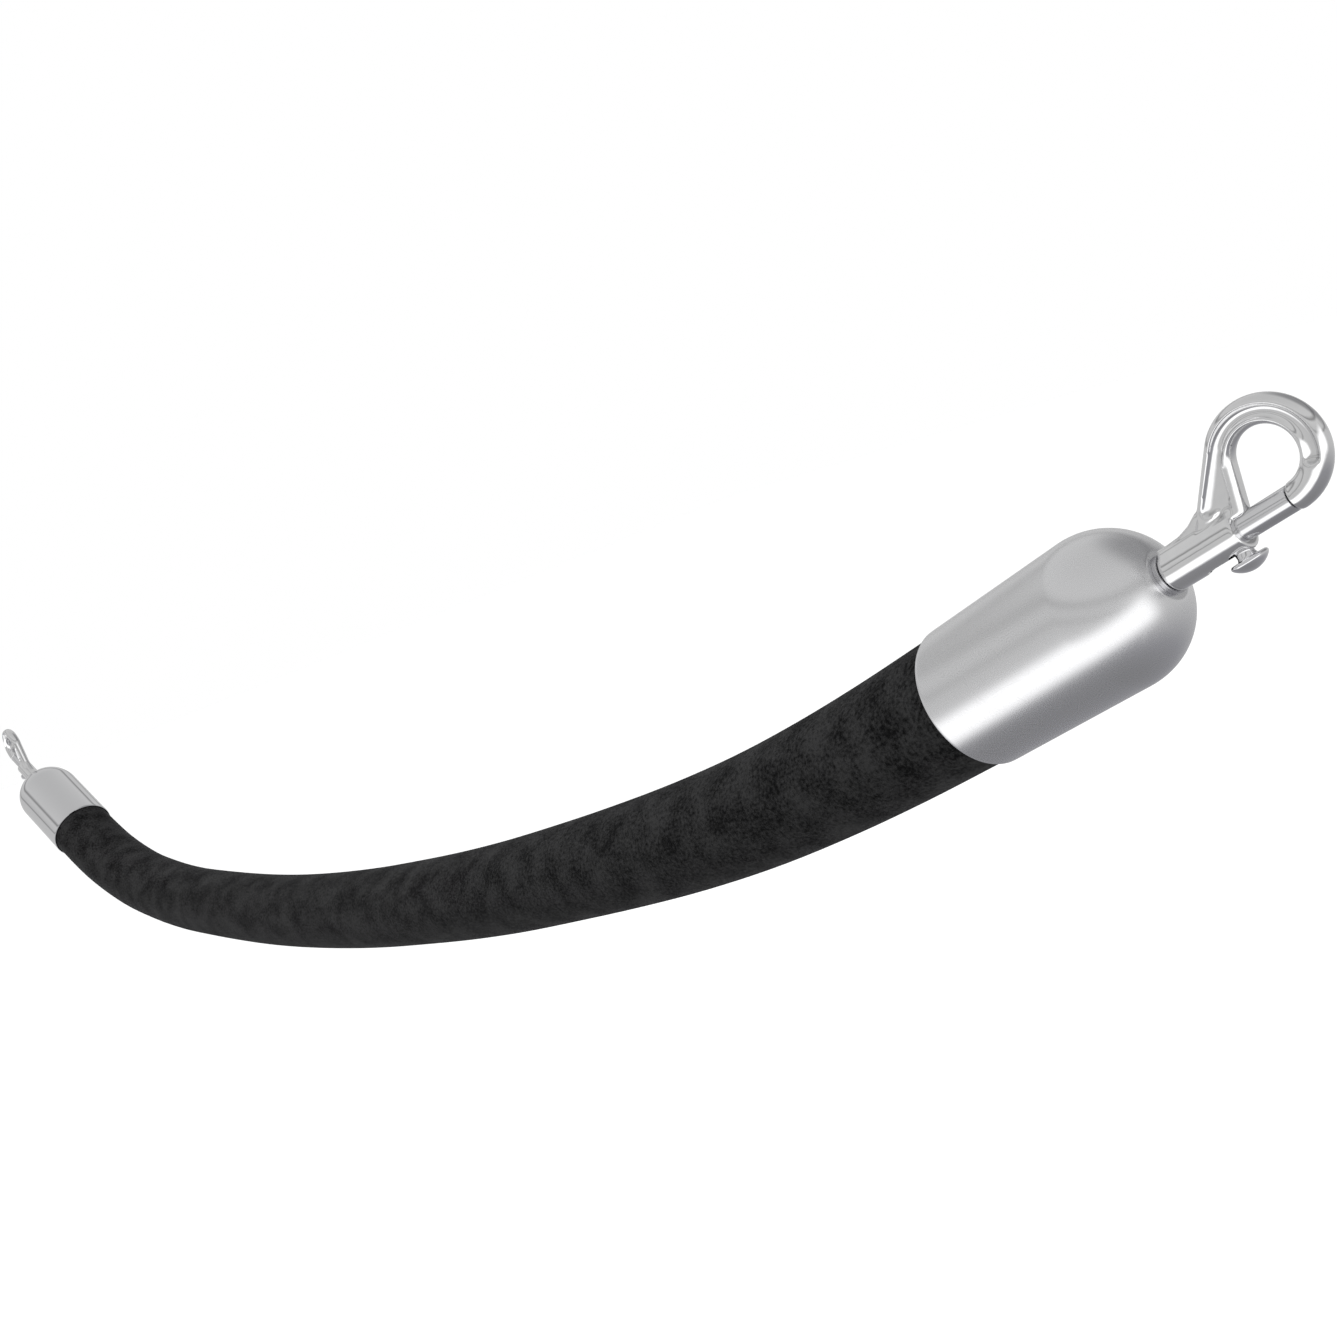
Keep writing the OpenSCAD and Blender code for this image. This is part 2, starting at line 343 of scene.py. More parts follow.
def foam(name):
    """Closed-cell foam: off-white and matt, pitted with small cells, with painted shade darkening the pits.
    """
    material = bpy.data.materials.new(name)
    material.use_nodes = True
    nodes = material.node_tree.nodes
    links = material.node_tree.links
    nodes.clear()

    output = nodes.new("ShaderNodeOutputMaterial")
    output.label = "Foam surface"
    output.location = (700, 0)
    skin = nodes.new("ShaderNodeBsdfPrincipled")
    skin.label = "Foam"
    skin.location = (400, 0)
    place = nodes.new("ShaderNodeTexCoord")
    place.label = "Place on the core"
    place.location = (-600, 0)
    cell_frame = nodes.new("NodeFrame")
    cell_frame.label = "Cells"
    cells = nodes.new("ShaderNodeTexVoronoi")
    cells.label = "Cells"
    cells.location = (-400, 0)
    cells.parent = cell_frame
    # Painted shade: the colour is darkest at the bottom of each cell pit, following the same field that
    # drives the bump
    colour = nodes.new("ShaderNodeValToRGB")
    colour.label = "Painted shade in the foam cells"
    colour.location = (-150, 150)
    colour.parent = cell_frame
    pits = nodes.new("ShaderNodeBump")
    pits.label = "Pits"
    pits.location = (100, -200)
    pits.parent = cell_frame

    cells.inputs["Scale"].default_value = 900.0
    # Dark end for the pit bottoms as painted shade, light end for the rims between cells
    colour.color_ramp.elements[0].color = (0.55, 0.52, 0.45, 1)
    colour.color_ramp.elements[1].color = (0.74, 0.71, 0.63, 1)
    pits.inputs["Strength"].default_value = 0.6
    pits.inputs["Distance"].default_value = 0.0003
    skin.inputs["Roughness"].default_value = 0.9

    links.new(place.outputs["Object"], cells.inputs["Vector"])
    links.new(cells.outputs["Distance"], colour.inputs["Fac"])
    links.new(colour.outputs["Color"], skin.inputs["Base Color"])
    links.new(cells.outputs["Distance"], pits.inputs["Height"])
    links.new(pits.outputs["Normal"], skin.inputs["Normal"])
    links.new(skin.outputs["BSDF"], output.inputs["Surface"])
    return material


core.data.materials.append(foam("pale_foam"))
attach(core, "rope")
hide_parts("rope_core")


# ---------------------------------------------------------------------------------------------
# Floor and light. A plain pale floor lies well below the rope, as under a rope between two posts.
# Three soft boxes and a white room light it. Metal sees only a painted room, in greys, with dark
# strips on its walls, a dim corner behind and one long lamp in front.
# ---------------------------------------------------------------------------------------------
floor_height = -0.95
bpy.ops.object.select_all(action="DESELECT")
bpy.ops.mesh.primitive_plane_add(size=30.0, location=(-0.45, 0.0, floor_height))
floor = bpy.context.object
floor.name = "floor"
floor.visible_glossy = False
floor_paint = bpy.data.materials.new("floor_paint")
floor_paint.use_nodes = True
floor_paint.node_tree.nodes["Principled BSDF"].inputs["Base Color"].default_value = (0.9, 0.9, 0.9, 1)
floor_paint.node_tree.nodes["Principled BSDF"].inputs["Roughness"].default_value = 0.8
floor.data.materials.append(floor_paint)
floor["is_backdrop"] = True


def towards(azimuth, elevation):
    """The way from the rope to a lamp; azimuth 0 is in front, along -Y, and 90 is towards +X."""
    a, e = math.radians(azimuth), math.radians(elevation)
    return Vector((math.sin(a) * math.cos(e), -math.cos(a) * math.cos(e), math.sin(e)))


def soft_box(name, azimuth, elevation, distance, width, height, power, aim=(-0.06, 0.0, -0.03)):
    """A rectangular lamp that faces a point on the rope, and that reflections leave out."""
    lamp = bpy.data.lights.new(name, "AREA")
    lamp.shape = "RECTANGLE"
    lamp.size = width
    lamp.size_y = height
    lamp.energy = power
    stand = bpy.data.objects.new(name, lamp)
    bpy.context.collection.objects.link(stand)
    way = towards(azimuth, elevation)
    stand.location = Vector(aim) + way * distance
    stand.rotation_euler = way.to_track_quat("Z", "Y").to_euler()
    stand.visible_camera = False
    stand.visible_glossy = False


soft_box("low_front_box", -38, -36, 1.0, 1.1, 0.42, 1.0)
soft_box("right_box", 76, 2, 1.1, 0.8, 0.8, 10.0)
soft_box("top_box", -10, 64, 1.6, 1.6, 0.8, 44.0, aim=(-0.25, 0.0, -0.1))

room = bpy.data.worlds.new("white_room")
bpy.context.scene.world = room
room.use_nodes = True
nodes = room.node_tree.nodes
links = room.node_tree.links
nodes.clear()

room_output = nodes.new("ShaderNodeOutputWorld")
room_output.label = "Room"
room_output.location = (900, 0)
rays = nodes.new("ShaderNodeLightPath")
rays.label = "What looks at the room"
rays.location = (0, 500)
where = nodes.new("ShaderNodeTexCoord")
where.label = "Direction in the room"
where.location = (-900, 0)

wall_frame = nodes.new("NodeFrame")
wall_frame.label = "Walls with dark strips"
height = nodes.new("ShaderNodeSeparateXYZ")
height.label = "Height of the direction"
height.location = (-700, 100)
height.parent = wall_frame
half = nodes.new("ShaderNodeMapRange")
half.label = "Down to up"
half.location = (-500, 100)
half.parent = wall_frame
walls = nodes.new("ShaderNodeValToRGB")
walls.label = "Room from floor to ceiling"
walls.location = (-300, 100)
walls.parent = wall_frame

corner_frame = nodes.new("NodeFrame")
corner_frame.label = "Dim corner behind the rope"
behind = nodes.new("ShaderNodeVectorMath")
behind.label = "How far towards the dim corner"
behind.location = (-700, -200)
behind.parent = corner_frame
behind_dim = nodes.new("ShaderNodeMapRange")
behind_dim.label = "Dim corner"
behind_dim.location = (-500, -200)
behind_dim.parent = corner_frame
dim_room = nodes.new("ShaderNodeMix")
dim_room.label = "Room with the dim corner in it"
dim_room.location = (50, 0)
dim_room.parent = corner_frame

strip_frame = nodes.new("NodeFrame")
strip_frame.label = "One long lamp in front"
strip = nodes.new("ShaderNodeVectorMath")
strip.label = "Across the long lamp"
strip.location = (-700, -700)
strip.parent = strip_frame
strip_centre = nodes.new("ShaderNodeMath")
strip_centre.label = "From its middle line"
strip_centre.location = (-500, -700)
strip_centre.parent = strip_frame
strip_off = nodes.new("ShaderNodeMath")
strip_off.label = "To either side"
strip_off.location = (-350, -700)
strip_off.parent = strip_frame
strip_edge = nodes.new("ShaderNodeMapRange")
strip_edge.label = "Soft long edges"
strip_edge.location = (-200, -700)
strip_edge.parent = strip_frame
strip_reach = nodes.new("ShaderNodeVectorMath")
strip_reach.label = "Along the long lamp"
strip_reach.location = (-700, -950)
strip_reach.parent = strip_frame
strip_ends = nodes.new("ShaderNodeMapRange")
strip_ends.label = "Soft ends"
strip_ends.location = (-500, -950)
strip_ends.parent = strip_frame
strip_shape = nodes.new("ShaderNodeMath")
strip_shape.label = "Shape of the long lamp"
strip_shape.location = (0, -700)
strip_shape.parent = strip_frame
lit_room = nodes.new("ShaderNodeMix")
lit_room.label = "Room with the long lamp in it"
lit_room.location = (180, -200)
lit_room.parent = strip_frame

ray_frame = nodes.new("NodeFrame")
ray_frame.label = "What each kind of ray sees"
to_metal = nodes.new("ShaderNodeBackground")
to_metal.label = "Room in reflections"
to_metal.location = (300, 0)
to_metal.parent = ray_frame
plain = nodes.new("ShaderNodeBackground")
plain.label = "Room seen directly"
plain.location = (300, 200)
plain.parent = ray_frame
fill = nodes.new("ShaderNodeBackground")
fill.label = "Room as soft light"
fill.location = (300, -200)
fill.parent = ray_frame
not_metal = nodes.new("ShaderNodeMixShader")
not_metal.label = "Reflections or soft light"
not_metal.location = (550, -50)
not_metal.parent = ray_frame
seen = nodes.new("ShaderNodeMixShader")
seen.label = "Seen directly or not"
seen.location = (720, 50)
seen.parent = ray_frame

half.inputs["From Min"].default_value = -1.0
half.inputs["From Max"].default_value = 1.0
walls.color_ramp.elements[0].position = 0.0
walls.color_ramp.elements[0].color = (0.25, 0.25, 0.26, 1)
walls.color_ramp.elements[1].position = 1.0
walls.color_ramp.elements[1].color = (0.58, 0.58, 0.58, 1)
low = walls.color_ramp.elements.new(0.16)
low.color = (0.31, 0.31, 0.33, 1)
level = walls.color_ramp.elements.new(0.42)
level.color = (0.60, 0.60, 0.60, 1)
# Light walls with dark strips between them: (height as a share of the ramp, brightness)
wall_bands = [(0.55, 0.62), (0.57, 0.30), (0.60, 0.60), (0.70, 0.66), (0.735, 0.27), (0.78, 0.66),
              (0.90, 0.62)]
for share, grey in wall_bands:
    band = walls.color_ramp.elements.new(share)
    band.color = (grey, grey, grey, 1)
behind.operation = "DOT_PRODUCT"
behind.inputs[1].default_value = towards(155, 38)
behind_dim.interpolation_type = "SMOOTHSTEP"
behind_dim.inputs["From Min"].default_value = math.cos(math.radians(42))
behind_dim.inputs["From Max"].default_value = math.cos(math.radians(12))
behind_dim.inputs["To Max"].default_value = 0.65
lamp_left = towards(-37, -33)
lamp_middle = towards(18, -24)
lamp_right = towards(78, -3)
lamp_axis = (lamp_middle - lamp_left).cross(lamp_right - lamp_middle).normalized()
strip.operation = "DOT_PRODUCT"
strip.inputs[1].default_value = lamp_axis
strip_centre.operation = "SUBTRACT"
strip_centre.inputs[1].default_value = lamp_axis.dot(lamp_middle)
strip_off.operation = "ABSOLUTE"
strip_edge.interpolation_type = "SMOOTHSTEP"
strip_edge.inputs["From Min"].default_value = 0.38
strip_edge.inputs["From Max"].default_value = 0.15
strip_reach.operation = "DOT_PRODUCT"
strip_reach.inputs[1].default_value = towards(20, -14)
strip_ends.interpolation_type = "SMOOTHSTEP"
strip_ends.inputs["From Min"].default_value = math.cos(math.radians(88))
strip_ends.inputs["From Max"].default_value = math.cos(math.radians(62))
strip_shape.operation = "MULTIPLY"
lit_room.data_type = "RGBA"
lit_room.inputs[7].default_value = (1.42, 1.42, 1.42, 1)
dim_room.data_type = "RGBA"
dim_room.inputs[7].default_value = (0.12, 0.12, 0.13, 1)
to_metal.inputs["Strength"].default_value = 1.0
plain.inputs["Color"].default_value = (1, 1, 1, 1)
plain.inputs["Strength"].default_value = 1.0
fill.inputs["Color"].default_value = (1, 1, 1, 1)
fill.inputs["Strength"].default_value = 1.22

links.new(where.outputs["Generated"], height.inputs["Vector"])
links.new(height.outputs["Z"], half.inputs["Value"])
links.new(half.outputs["Result"], walls.inputs["Fac"])
links.new(where.outputs["Generated"], behind.inputs[0])
links.new(behind.outputs["Value"], behind_dim.inputs["Value"])
links.new(behind_dim.outputs["Result"], dim_room.inputs[0])
links.new(walls.outputs["Color"], dim_room.inputs[6])
links.new(where.outputs["Generated"], strip.inputs[0])
links.new(strip.outputs["Value"], strip_centre.inputs[0])
links.new(strip_centre.outputs["Value"], strip_off.inputs[0])
links.new(strip_off.outputs["Value"], strip_edge.inputs["Value"])
links.new(where.outputs["Generated"], strip_reach.inputs[0])
links.new(strip_reach.outputs["Value"], strip_ends.inputs["Value"])
links.new(strip_edge.outputs["Result"], strip_shape.inputs[0])
links.new(strip_ends.outputs["Result"], strip_shape.inputs[1])
links.new(strip_shape.outputs["Value"], lit_room.inputs[0])
links.new(dim_room.outputs[2], lit_room.inputs[6])
links.new(lit_room.outputs[2], to_metal.inputs["Color"])
links.new(rays.outputs["Is Glossy Ray"], not_metal.inputs[0])
links.new(fill.outputs["Background"], not_metal.inputs[1])
links.new(to_metal.outputs["Background"], not_metal.inputs[2])
links.new(rays.outputs["Is Camera Ray"], seen.inputs[0])
links.new(not_metal.outputs["Shader"], seen.inputs[1])
links.new(plain.outputs["Background"], seen.inputs[2])
links.new(seen.outputs["Shader"], room_output.inputs["Surface"])


# ---------------------------------------------------------------------------------------------
# End caps. Each is one sheet of stainless steel spun over a form: a long straight bell with a
# round dome, a small flat on top for the washer, and a mouth turned in slightly at its edge.
# ---------------------------------------------------------------------------------------------
cap_radius = 0.0200
cap_wall = 0.0009
cap_top_wall = 0.0010
cap_body = 0.0475
cap_flat = 0.0065
cap_top = cap_body + math.sqrt(cap_radius ** 2 - cap_flat ** 2)
stud_hole = 0.0021


def turned(name, rings, sides, solid=False):
    """A turned piece, upright on the Z axis. A ring is drawn, then extruded and resized to each next
    (z, radius). A hollow piece ends on the ring it starts with, and a solid one has flat end faces."""
    bpy.ops.object.select_all(action="DESELECT")
    z, r = rings[0]
    fill = "NGON" if solid else "NOTHING"
    bpy.ops.mesh.primitive_circle_add(vertices=sides, radius=r, fill_type=fill, location=(0, 0, z))
    piece = bpy.context.object
    piece.name = name
    bpy.ops.object.transform_apply(location=True)
    bpy.ops.object.mode_set(mode="EDIT")
    bpy.ops.mesh.select_all(action="SELECT")
    for next_z, next_r in rings[1:]:
        bpy.ops.mesh.extrude_region_move(TRANSFORM_OT_translate={"value": (0, 0, next_z - z)})
        bpy.ops.transform.resize(value=(next_r / r, next_r / r, 1), center_override=(0, 0, next_z))
        z, r = next_z, next_r
    bpy.ops.mesh.select_all(action="SELECT")
    bpy.ops.mesh.remove_doubles(threshold=1e-6)
    bpy.ops.mesh.normals_make_consistent(inside=False)
    bpy.ops.object.mode_set(mode="OBJECT")
    bpy.ops.object.shade_smooth_by_angle(angle=math.radians(32))
    return piece


def place_on_end(piece, side):
    """Moves a piece from upright, cap mouth at the origin and loop towards +X, to its end of the rope."""
    way = cap_ways[side]
    loop_side = way.cross(Vector((0, 1 if way.x > 0 else -1, 0)))
    turn = Matrix((loop_side, way.cross(loop_side), way)).transposed()
    piece.matrix_world = Matrix.Translation(mouths[side]) @ turn.to_4x4()
    pick(piece)
    bpy.ops.object.transform_apply(location=True, rotation=True, scale=True)
    return piece


def copied(piece, name):
    """A copy of a piece with its own mesh."""
    twin = piece.copy()
    twin.data = piece.data.copy()
    twin.name = name
    bpy.context.collection.objects.link(twin)
    return twin


def arc(centre_z, radius, start, end, steps, centre_r=0.0):
    """Rings along an arc of a profile; angles are in degrees from the outward way, up is positive."""
    return [(centre_z + radius * math.sin(math.radians(start + (end - start) * k / steps)),
             centre_r + radius * math.cos(math.radians(start + (end - start) * k / steps)))
            for k in range(steps + 1)]


dome_end = math.degrees(math.acos(cap_flat / cap_radius))
inner_radius = cap_radius - cap_wall
inner_top = cap_top - cap_top_wall
inner_end = math.degrees(math.asin((inner_top - cap_body) / inner_radius))
cap_rings = [(0.0, cap_radius - 0.00035)]
cap_rings += [(0.00012, cap_radius - 0.00012), (0.00035, cap_radius - 0.00002)]
cap_rings += [(z / 1000, cap_radius) for z in (1.2, 4, 10, 18, 26, 34, 41, 44.5)]
cap_rings += arc(cap_body, cap_radius, 0, dome_end, 40)
cap_rings += [(cap_top + 0.00001, cap_flat - 0.0003), (cap_top, 0.0050), (cap_top, stud_hole)]
cap_rings += [(inner_top, stud_hole), (inner_top, 0.0050)]
cap_rings += arc(cap_body, inner_radius, inner_end, 0, 24)
cap_rings += [(0.030, inner_radius), (0.010, inner_radius), (0.0006, inner_radius)]
cap_rings += [(0.0001, inner_radius + 0.00012), (0.0, cap_radius - 0.00035)]
near_cap = turned("near_cap_shell", cap_rings, 160)
far_cap = copied(near_cap, "far_cap_shell")


def spun_steel(name, side, roughness, tint, grain, lines):
    """Stainless steel as it comes off the spinning lathe and the buffing wheel: fine rings round the cap,
    a soft grain in the gloss, and a few faint rubs."""
    material = bpy.data.materials.new(name)
    material.use_nodes = True
    nodes = material.node_tree.nodes
    links = material.node_tree.links
    nodes.clear()

    output = nodes.new("ShaderNodeOutputMaterial")
    output.label = "Cap surface"
    output.location = (1000, 0)
    steel = nodes.new("ShaderNodeBsdfPrincipled")
    steel.label = "Stainless steel"
    steel.location = (700, 0)
    place = nodes.new("ShaderNodeTexCoord")
    place.label = "Place on the cap"
    place.location = (-1300, 0)
    axis = nodes.new("ShaderNodeMapping")
    axis.label = "Turned to run along the cap"
    axis.location = (-1100, 0)

    ring_frame = nodes.new("NodeFrame")
    ring_frame.label = "Rings left by the lathe and the buff"
    squeeze = nodes.new("ShaderNodeMapping")
    squeeze.label = "Long round the cap, fine along it"
    squeeze.location = (-850, 200)
    squeeze.parent = ring_frame
    rings_noise = nodes.new("ShaderNodeTexNoise")
    rings_noise.label = "Fine rings"
    rings_noise.location = (-600, 200)
    rings_noise.parent = ring_frame
    ring_bump = nodes.new("ShaderNodeBump")
    ring_bump.label = "Relief of the rings"
    ring_bump.location = (-100, -300)
    ring_bump.parent = ring_frame

    gloss_frame = nodes.new("NodeFrame")
    gloss_frame.label = "Uneven gloss"
    grain_noise = nodes.new("ShaderNodeTexNoise")
    grain_noise.label = "Satin grain"
    grain_noise.location = (-600, -50)
    grain_noise.parent = gloss_frame
    rub_noise = nodes.new("ShaderNodeTexNoise")
    rub_noise.label = "Rubs from handling"
    rub_noise.location = (-600, -600)
    rub_noise.parent = gloss_frame
    rub_range = nodes.new("ShaderNodeMapRange")
    rub_range.label = "Only the strongest rubs"
    rub_range.location = (-350, -600)
    rub_range.parent = gloss_frame
    grain_range = nodes.new("ShaderNodeMapRange")
    grain_range.label = "Gloss from smooth to satin"
    grain_range.location = (-350, -50)
    grain_range.parent = gloss_frame
    gloss = nodes.new("ShaderNodeMath")
    gloss.label = "Grain and rubs together"
    gloss.location = (-100, -50)
    gloss.parent = gloss_frame
    grain_bump = nodes.new("ShaderNodeBump")
    grain_bump.label = "Relief of the grain"
    grain_bump.location = (200, -300)
    grain_bump.parent = gloss_frame

    colour_frame = nodes.new("NodeFrame")
    colour_frame.label = "Slight change of colour"
    colour = nodes.new("ShaderNodeMix")
    colour.label = "Steel, a little darker where rubbed"
    colour.location = (200, 200)
    colour.parent = colour_frame

    way = cap_ways[side]
    axis.vector_type = "TEXTURE"
    axis.inputs["Location"].default_value = mouths[side]
    axis.inputs["Rotation"].default_value = (0, math.atan2(way.x, way.z), 0)
    squeeze.inputs["Scale"].default_value = (18, 18, 2600)
    rings_noise.inputs["Scale"].default_value = 1.0
    rings_noise.inputs["Detail"].default_value = 3.0
    rings_noise.inputs["Roughness"].default_value = 0.7
    ring_bump.inputs["Strength"].default_value = lines
    ring_bump.inputs["Distance"].default_value = 0.00004
    grain_noise.inputs["Scale"].default_value = 3800.0
    grain_noise.inputs["Detail"].default_value = 3.0
    grain_range.inputs["From Min"].default_value = 0.3
    grain_range.inputs["From Max"].default_value = 0.7
    grain_range.inputs["To Min"].default_value = roughness * 0.82
    grain_range.inputs["To Max"].default_value = roughness * 1.18
    rub_noise.inputs["Scale"].default_value = 90.0
    rub_noise.inputs["Detail"].default_value = 6.0
    rub_noise.inputs["Roughness"].default_value = 0.6
    rub_noise.inputs["Distortion"].default_value = 0.6
    rub_range.inputs["From Min"].default_value = 0.60
    rub_range.inputs["From Max"].default_value = 0.75
    rub_range.inputs["To Max"].default_value = 0.05
    gloss.operation = "ADD"
    grain_bump.inputs["Strength"].default_value = grain
    grain_bump.inputs["Distance"].default_value = 0.00003
    colour.data_type = "RGBA"
    colour.inputs[6].default_value = (*tint, 1)
    colour.inputs[7].default_value = (tint[0] * 0.86, tint[1] * 0.86, tint[2] * 0.88, 1)
    steel.inputs["Metallic"].default_value = 1.0

    links.new(place.outputs["Object"], axis.inputs["Vector"])
    links.new(axis.outputs["Vector"], squeeze.inputs["Vector"])
    links.new(squeeze.outputs["Vector"], rings_noise.inputs["Vector"])
    links.new(axis.outputs["Vector"], grain_noise.inputs["Vector"])
    links.new(axis.outputs["Vector"], rub_noise.inputs["Vector"])
    links.new(grain_noise.outputs["Fac"], grain_range.inputs["Value"])
    links.new(rub_noise.outputs["Fac"], rub_range.inputs["Value"])
    links.new(grain_range.outputs["Result"], gloss.inputs[0])
    links.new(rub_range.outputs["Result"], gloss.inputs[1])
    links.new(gloss.outputs["Value"], steel.inputs["Roughness"])
    links.new(rub_range.outputs["Result"], colour.inputs[0])
    links.new(colour.outputs[2], steel.inputs["Base Color"])
    links.new(rings_noise.outputs["Fac"], ring_bump.inputs["Height"])
    links.new(grain_noise.outputs["Fac"], grain_bump.inputs["Height"])
    links.new(ring_bump.outputs["Normal"], grain_bump.inputs["Normal"])
    links.new(grain_bump.outputs["Normal"], steel.inputs["Normal"])
    links.new(steel.outputs["BSDF"], output.inputs["Surface"])
    return material


near_cap.data.materials.append(spun_steel("satin_cap_steel", "near", 0.27, (0.80, 0.80, 0.81), 0.06, 0.05))
far_cap.data.materials.append(spun_steel("bright_cap_steel", "far", 0.07, (0.76, 0.76, 0.77), 0.05, 0.08))
for side, cap in (("near", near_cap), ("far", far_cap)):
    place_on_end(cap, side)
    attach(cap, "rope")
    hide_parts(side + "_end_cap")


# ---------------------------------------------------------------------------------------------
# Snap hooks. Each is one zinc die casting, buffed and chromed: a barrel with a bore and a slot,
# an arm that rises into the loop, a nose that meets the bolt, and a recess between its two rims.
# ---------------------------------------------------------------------------------------------
foot = cap_top + 0.0012
barrel_radius = 0.0048
barrel_length = 0.0203
bore_radius = 0.00305
loop_radius = 0.0101
loop_bar = 0.0033
loop_flat = 0.94
arm_foot_bar = 0.0026
rim_radius = 0.0086
rim_bar = 0.0018
rim_flat = 1.3
web_half = 0.0012
gusset_half = 0.0017
loop_at = foot + 0.0337
nose_at = foot + 0.0333
slot_radius = 0.00215
knob_at = foot + 0.0172
bolt_travel = 0.008


def round_bar(start, end, radius_start, radius_end, flat):
    """A tapered bar between two (x, z) points; its depth along Y is flat times its width."""
    length = math.hypot(end[0] - start[0], end[1] - start[1])
    bpy.ops.object.select_all(action="DESELECT")
    bpy.ops.mesh.primitive_cone_add(vertices=48, radius1=radius_start, radius2=radius_end, depth=length)
    bar = bpy.context.object
    bar.scale = (1, flat, 1)
    bar.rotation_euler = (0, math.atan2(end[0] - start[0], end[1] - start[1]), 0)
    bar.location = ((start[0] + end[0]) / 2, 0, (start[1] + end[1]) / 2)
    bpy.ops.object.transform_apply(location=True, rotation=True, scale=True)
    return bar


def knuckle(at, radius, flat):
    """A round end for a bar, at an (x, z) point."""
    bpy.ops.object.select_all(action="DESELECT")
    bpy.ops.mesh.primitive_uv_sphere_add(segments=48, ring_count=24, radius=radius,
                                         location=(at[0], 0, at[1]))
    ball = bpy.context.object
    ball.scale = (1, flat, 1)
    bpy.ops.object.transform_apply(location=True, rotation=True, scale=True)
    return ball


def bent_bar(start_angle, turn_angle, radius, bar_radius, flat, steps):
    """A bar bent round the loop's centre. Angles are in degrees from the way the hook points, towards
    the loop side."""
    a = math.radians(start_angle)
    start = (loop_radius + radius * math.sin(a), 0, loop_at + radius * math.cos(a))
    bpy.ops.object.select_all(action="DESELECT")
    bpy.ops.mesh.primitive_circle_add(vertices=48, radius=bar_radius, fill_type="NGON",
                                      location=start, rotation=(0, a + math.pi / 2, 0))
    bar = bpy.context.object
    bpy.ops.object.transform_apply(location=True, rotation=True)
    bpy.ops.object.mode_set(mode="EDIT")
    bpy.ops.mesh.select_all(action="SELECT")
    bpy.ops.transform.resize(value=(1, flat, 1), center_override=(0, 0, 0))
    bpy.ops.mesh.spin(steps=steps, angle=math.radians(-turn_angle),
                      center=(loop_radius, 0, loop_at), axis=(0, 1, 0))
    bpy.ops.mesh.select_all(action="SELECT")
    bpy.ops.mesh.remove_doubles(threshold=1e-6)
    bpy.ops.mesh.normals_make_consistent(inside=False)
    bpy.ops.object.mode_set(mode="OBJECT")
    return bar


def cut(piece, tool):
    """Cuts one solid out of another and clears the tool away."""
    boolean = piece.modifiers.new("cut", "BOOLEAN")
    boolean.operation = "DIFFERENCE"
    boolean.solver = "MANIFOLD"
    boolean.object = tool
    bpy.context.view_layer.objects.active = piece
    bpy.ops.object.modifier_apply(modifier="cut")
    bpy.data.objects.remove(tool, do_unlink=True)


def plug(radius, start, end, sides=96):
    """A plain round tool along the hook, used to cut bores and square faces."""
    bpy.ops.object.select_all(action="DESELECT")
    bpy.ops.mesh.primitive_cylinder_add(vertices=sides, radius=radius, depth=end - start,
                                        location=(0, 0, (start + end) / 2))
    tool = bpy.context.object
    bpy.ops.object.transform_apply(location=True)
    return tool


def side_drill(radius, start, end, at):
    """A plain round tool square to the hook, between two distances towards the loop side."""
    bpy.ops.object.select_all(action="DESELECT")
    bpy.ops.mesh.primitive_cylinder_add(vertices=64, radius=radius, depth=end - start,
                                        location=((start + end) / 2, 0, at), rotation=(0, math.pi / 2, 0))
    tool = bpy.context.object
    bpy.ops.object.transform_apply(location=True, rotation=True)
    return tool


def plate(outline, y_from, y_to):
    """A flat plate between two distances along Y, with its outline as (x, z) points."""
    bpy.ops.object.select_all(action="DESELECT")
    bpy.ops.mesh.primitive_circle_add(vertices=len(outline), radius=0.01, fill_type="NGON")
    piece = bpy.context.object
    for vertex, (x, z) in zip(piece.data.vertices, outline):
        vertex.co = (x, y_from, z)
    bpy.ops.object.mode_set(mode="EDIT")
    bpy.ops.mesh.select_all(action="SELECT")
    bpy.ops.mesh.extrude_region_move(TRANSFORM_OT_translate={"value": (0, y_to - y_from, 0)})
    bpy.ops.mesh.select_all(action="SELECT")
    bpy.ops.mesh.normals_make_consistent(inside=False)
    bpy.ops.object.mode_set(mode="OBJECT")
    return piece


def joined(parts, name):
    """Joins several meshes into one object."""
    pick(parts[0])
    for part in parts:
        part.select_set(True)
    bpy.ops.object.join()
    parts[0].name = name
    return parts[0]


def melt(piece, voxel_size):
    """Turns a piece into one skin, so that its lumps run into each other as they leave the mould."""
    skin = piece.modifiers.new("melt", "REMESH")
    skin.mode = "VOXEL"
    skin.voxel_size = voxel_size
    bpy.context.view_layer.objects.active = piece
    bpy.ops.object.modifier_apply(modifier="melt")


# Where the arm and the rims between the eye and the recess run, as (x, z) points
arm_top = (0.01724, foot + 0.02656)
arm_foot = (0.00112, foot + 0.01044)
rim_top = (0.01304, foot + 0.02562)
rim_foot = (0.0034, foot + 0.0221)
rim_root = (0.0038, foot + 0.0190)

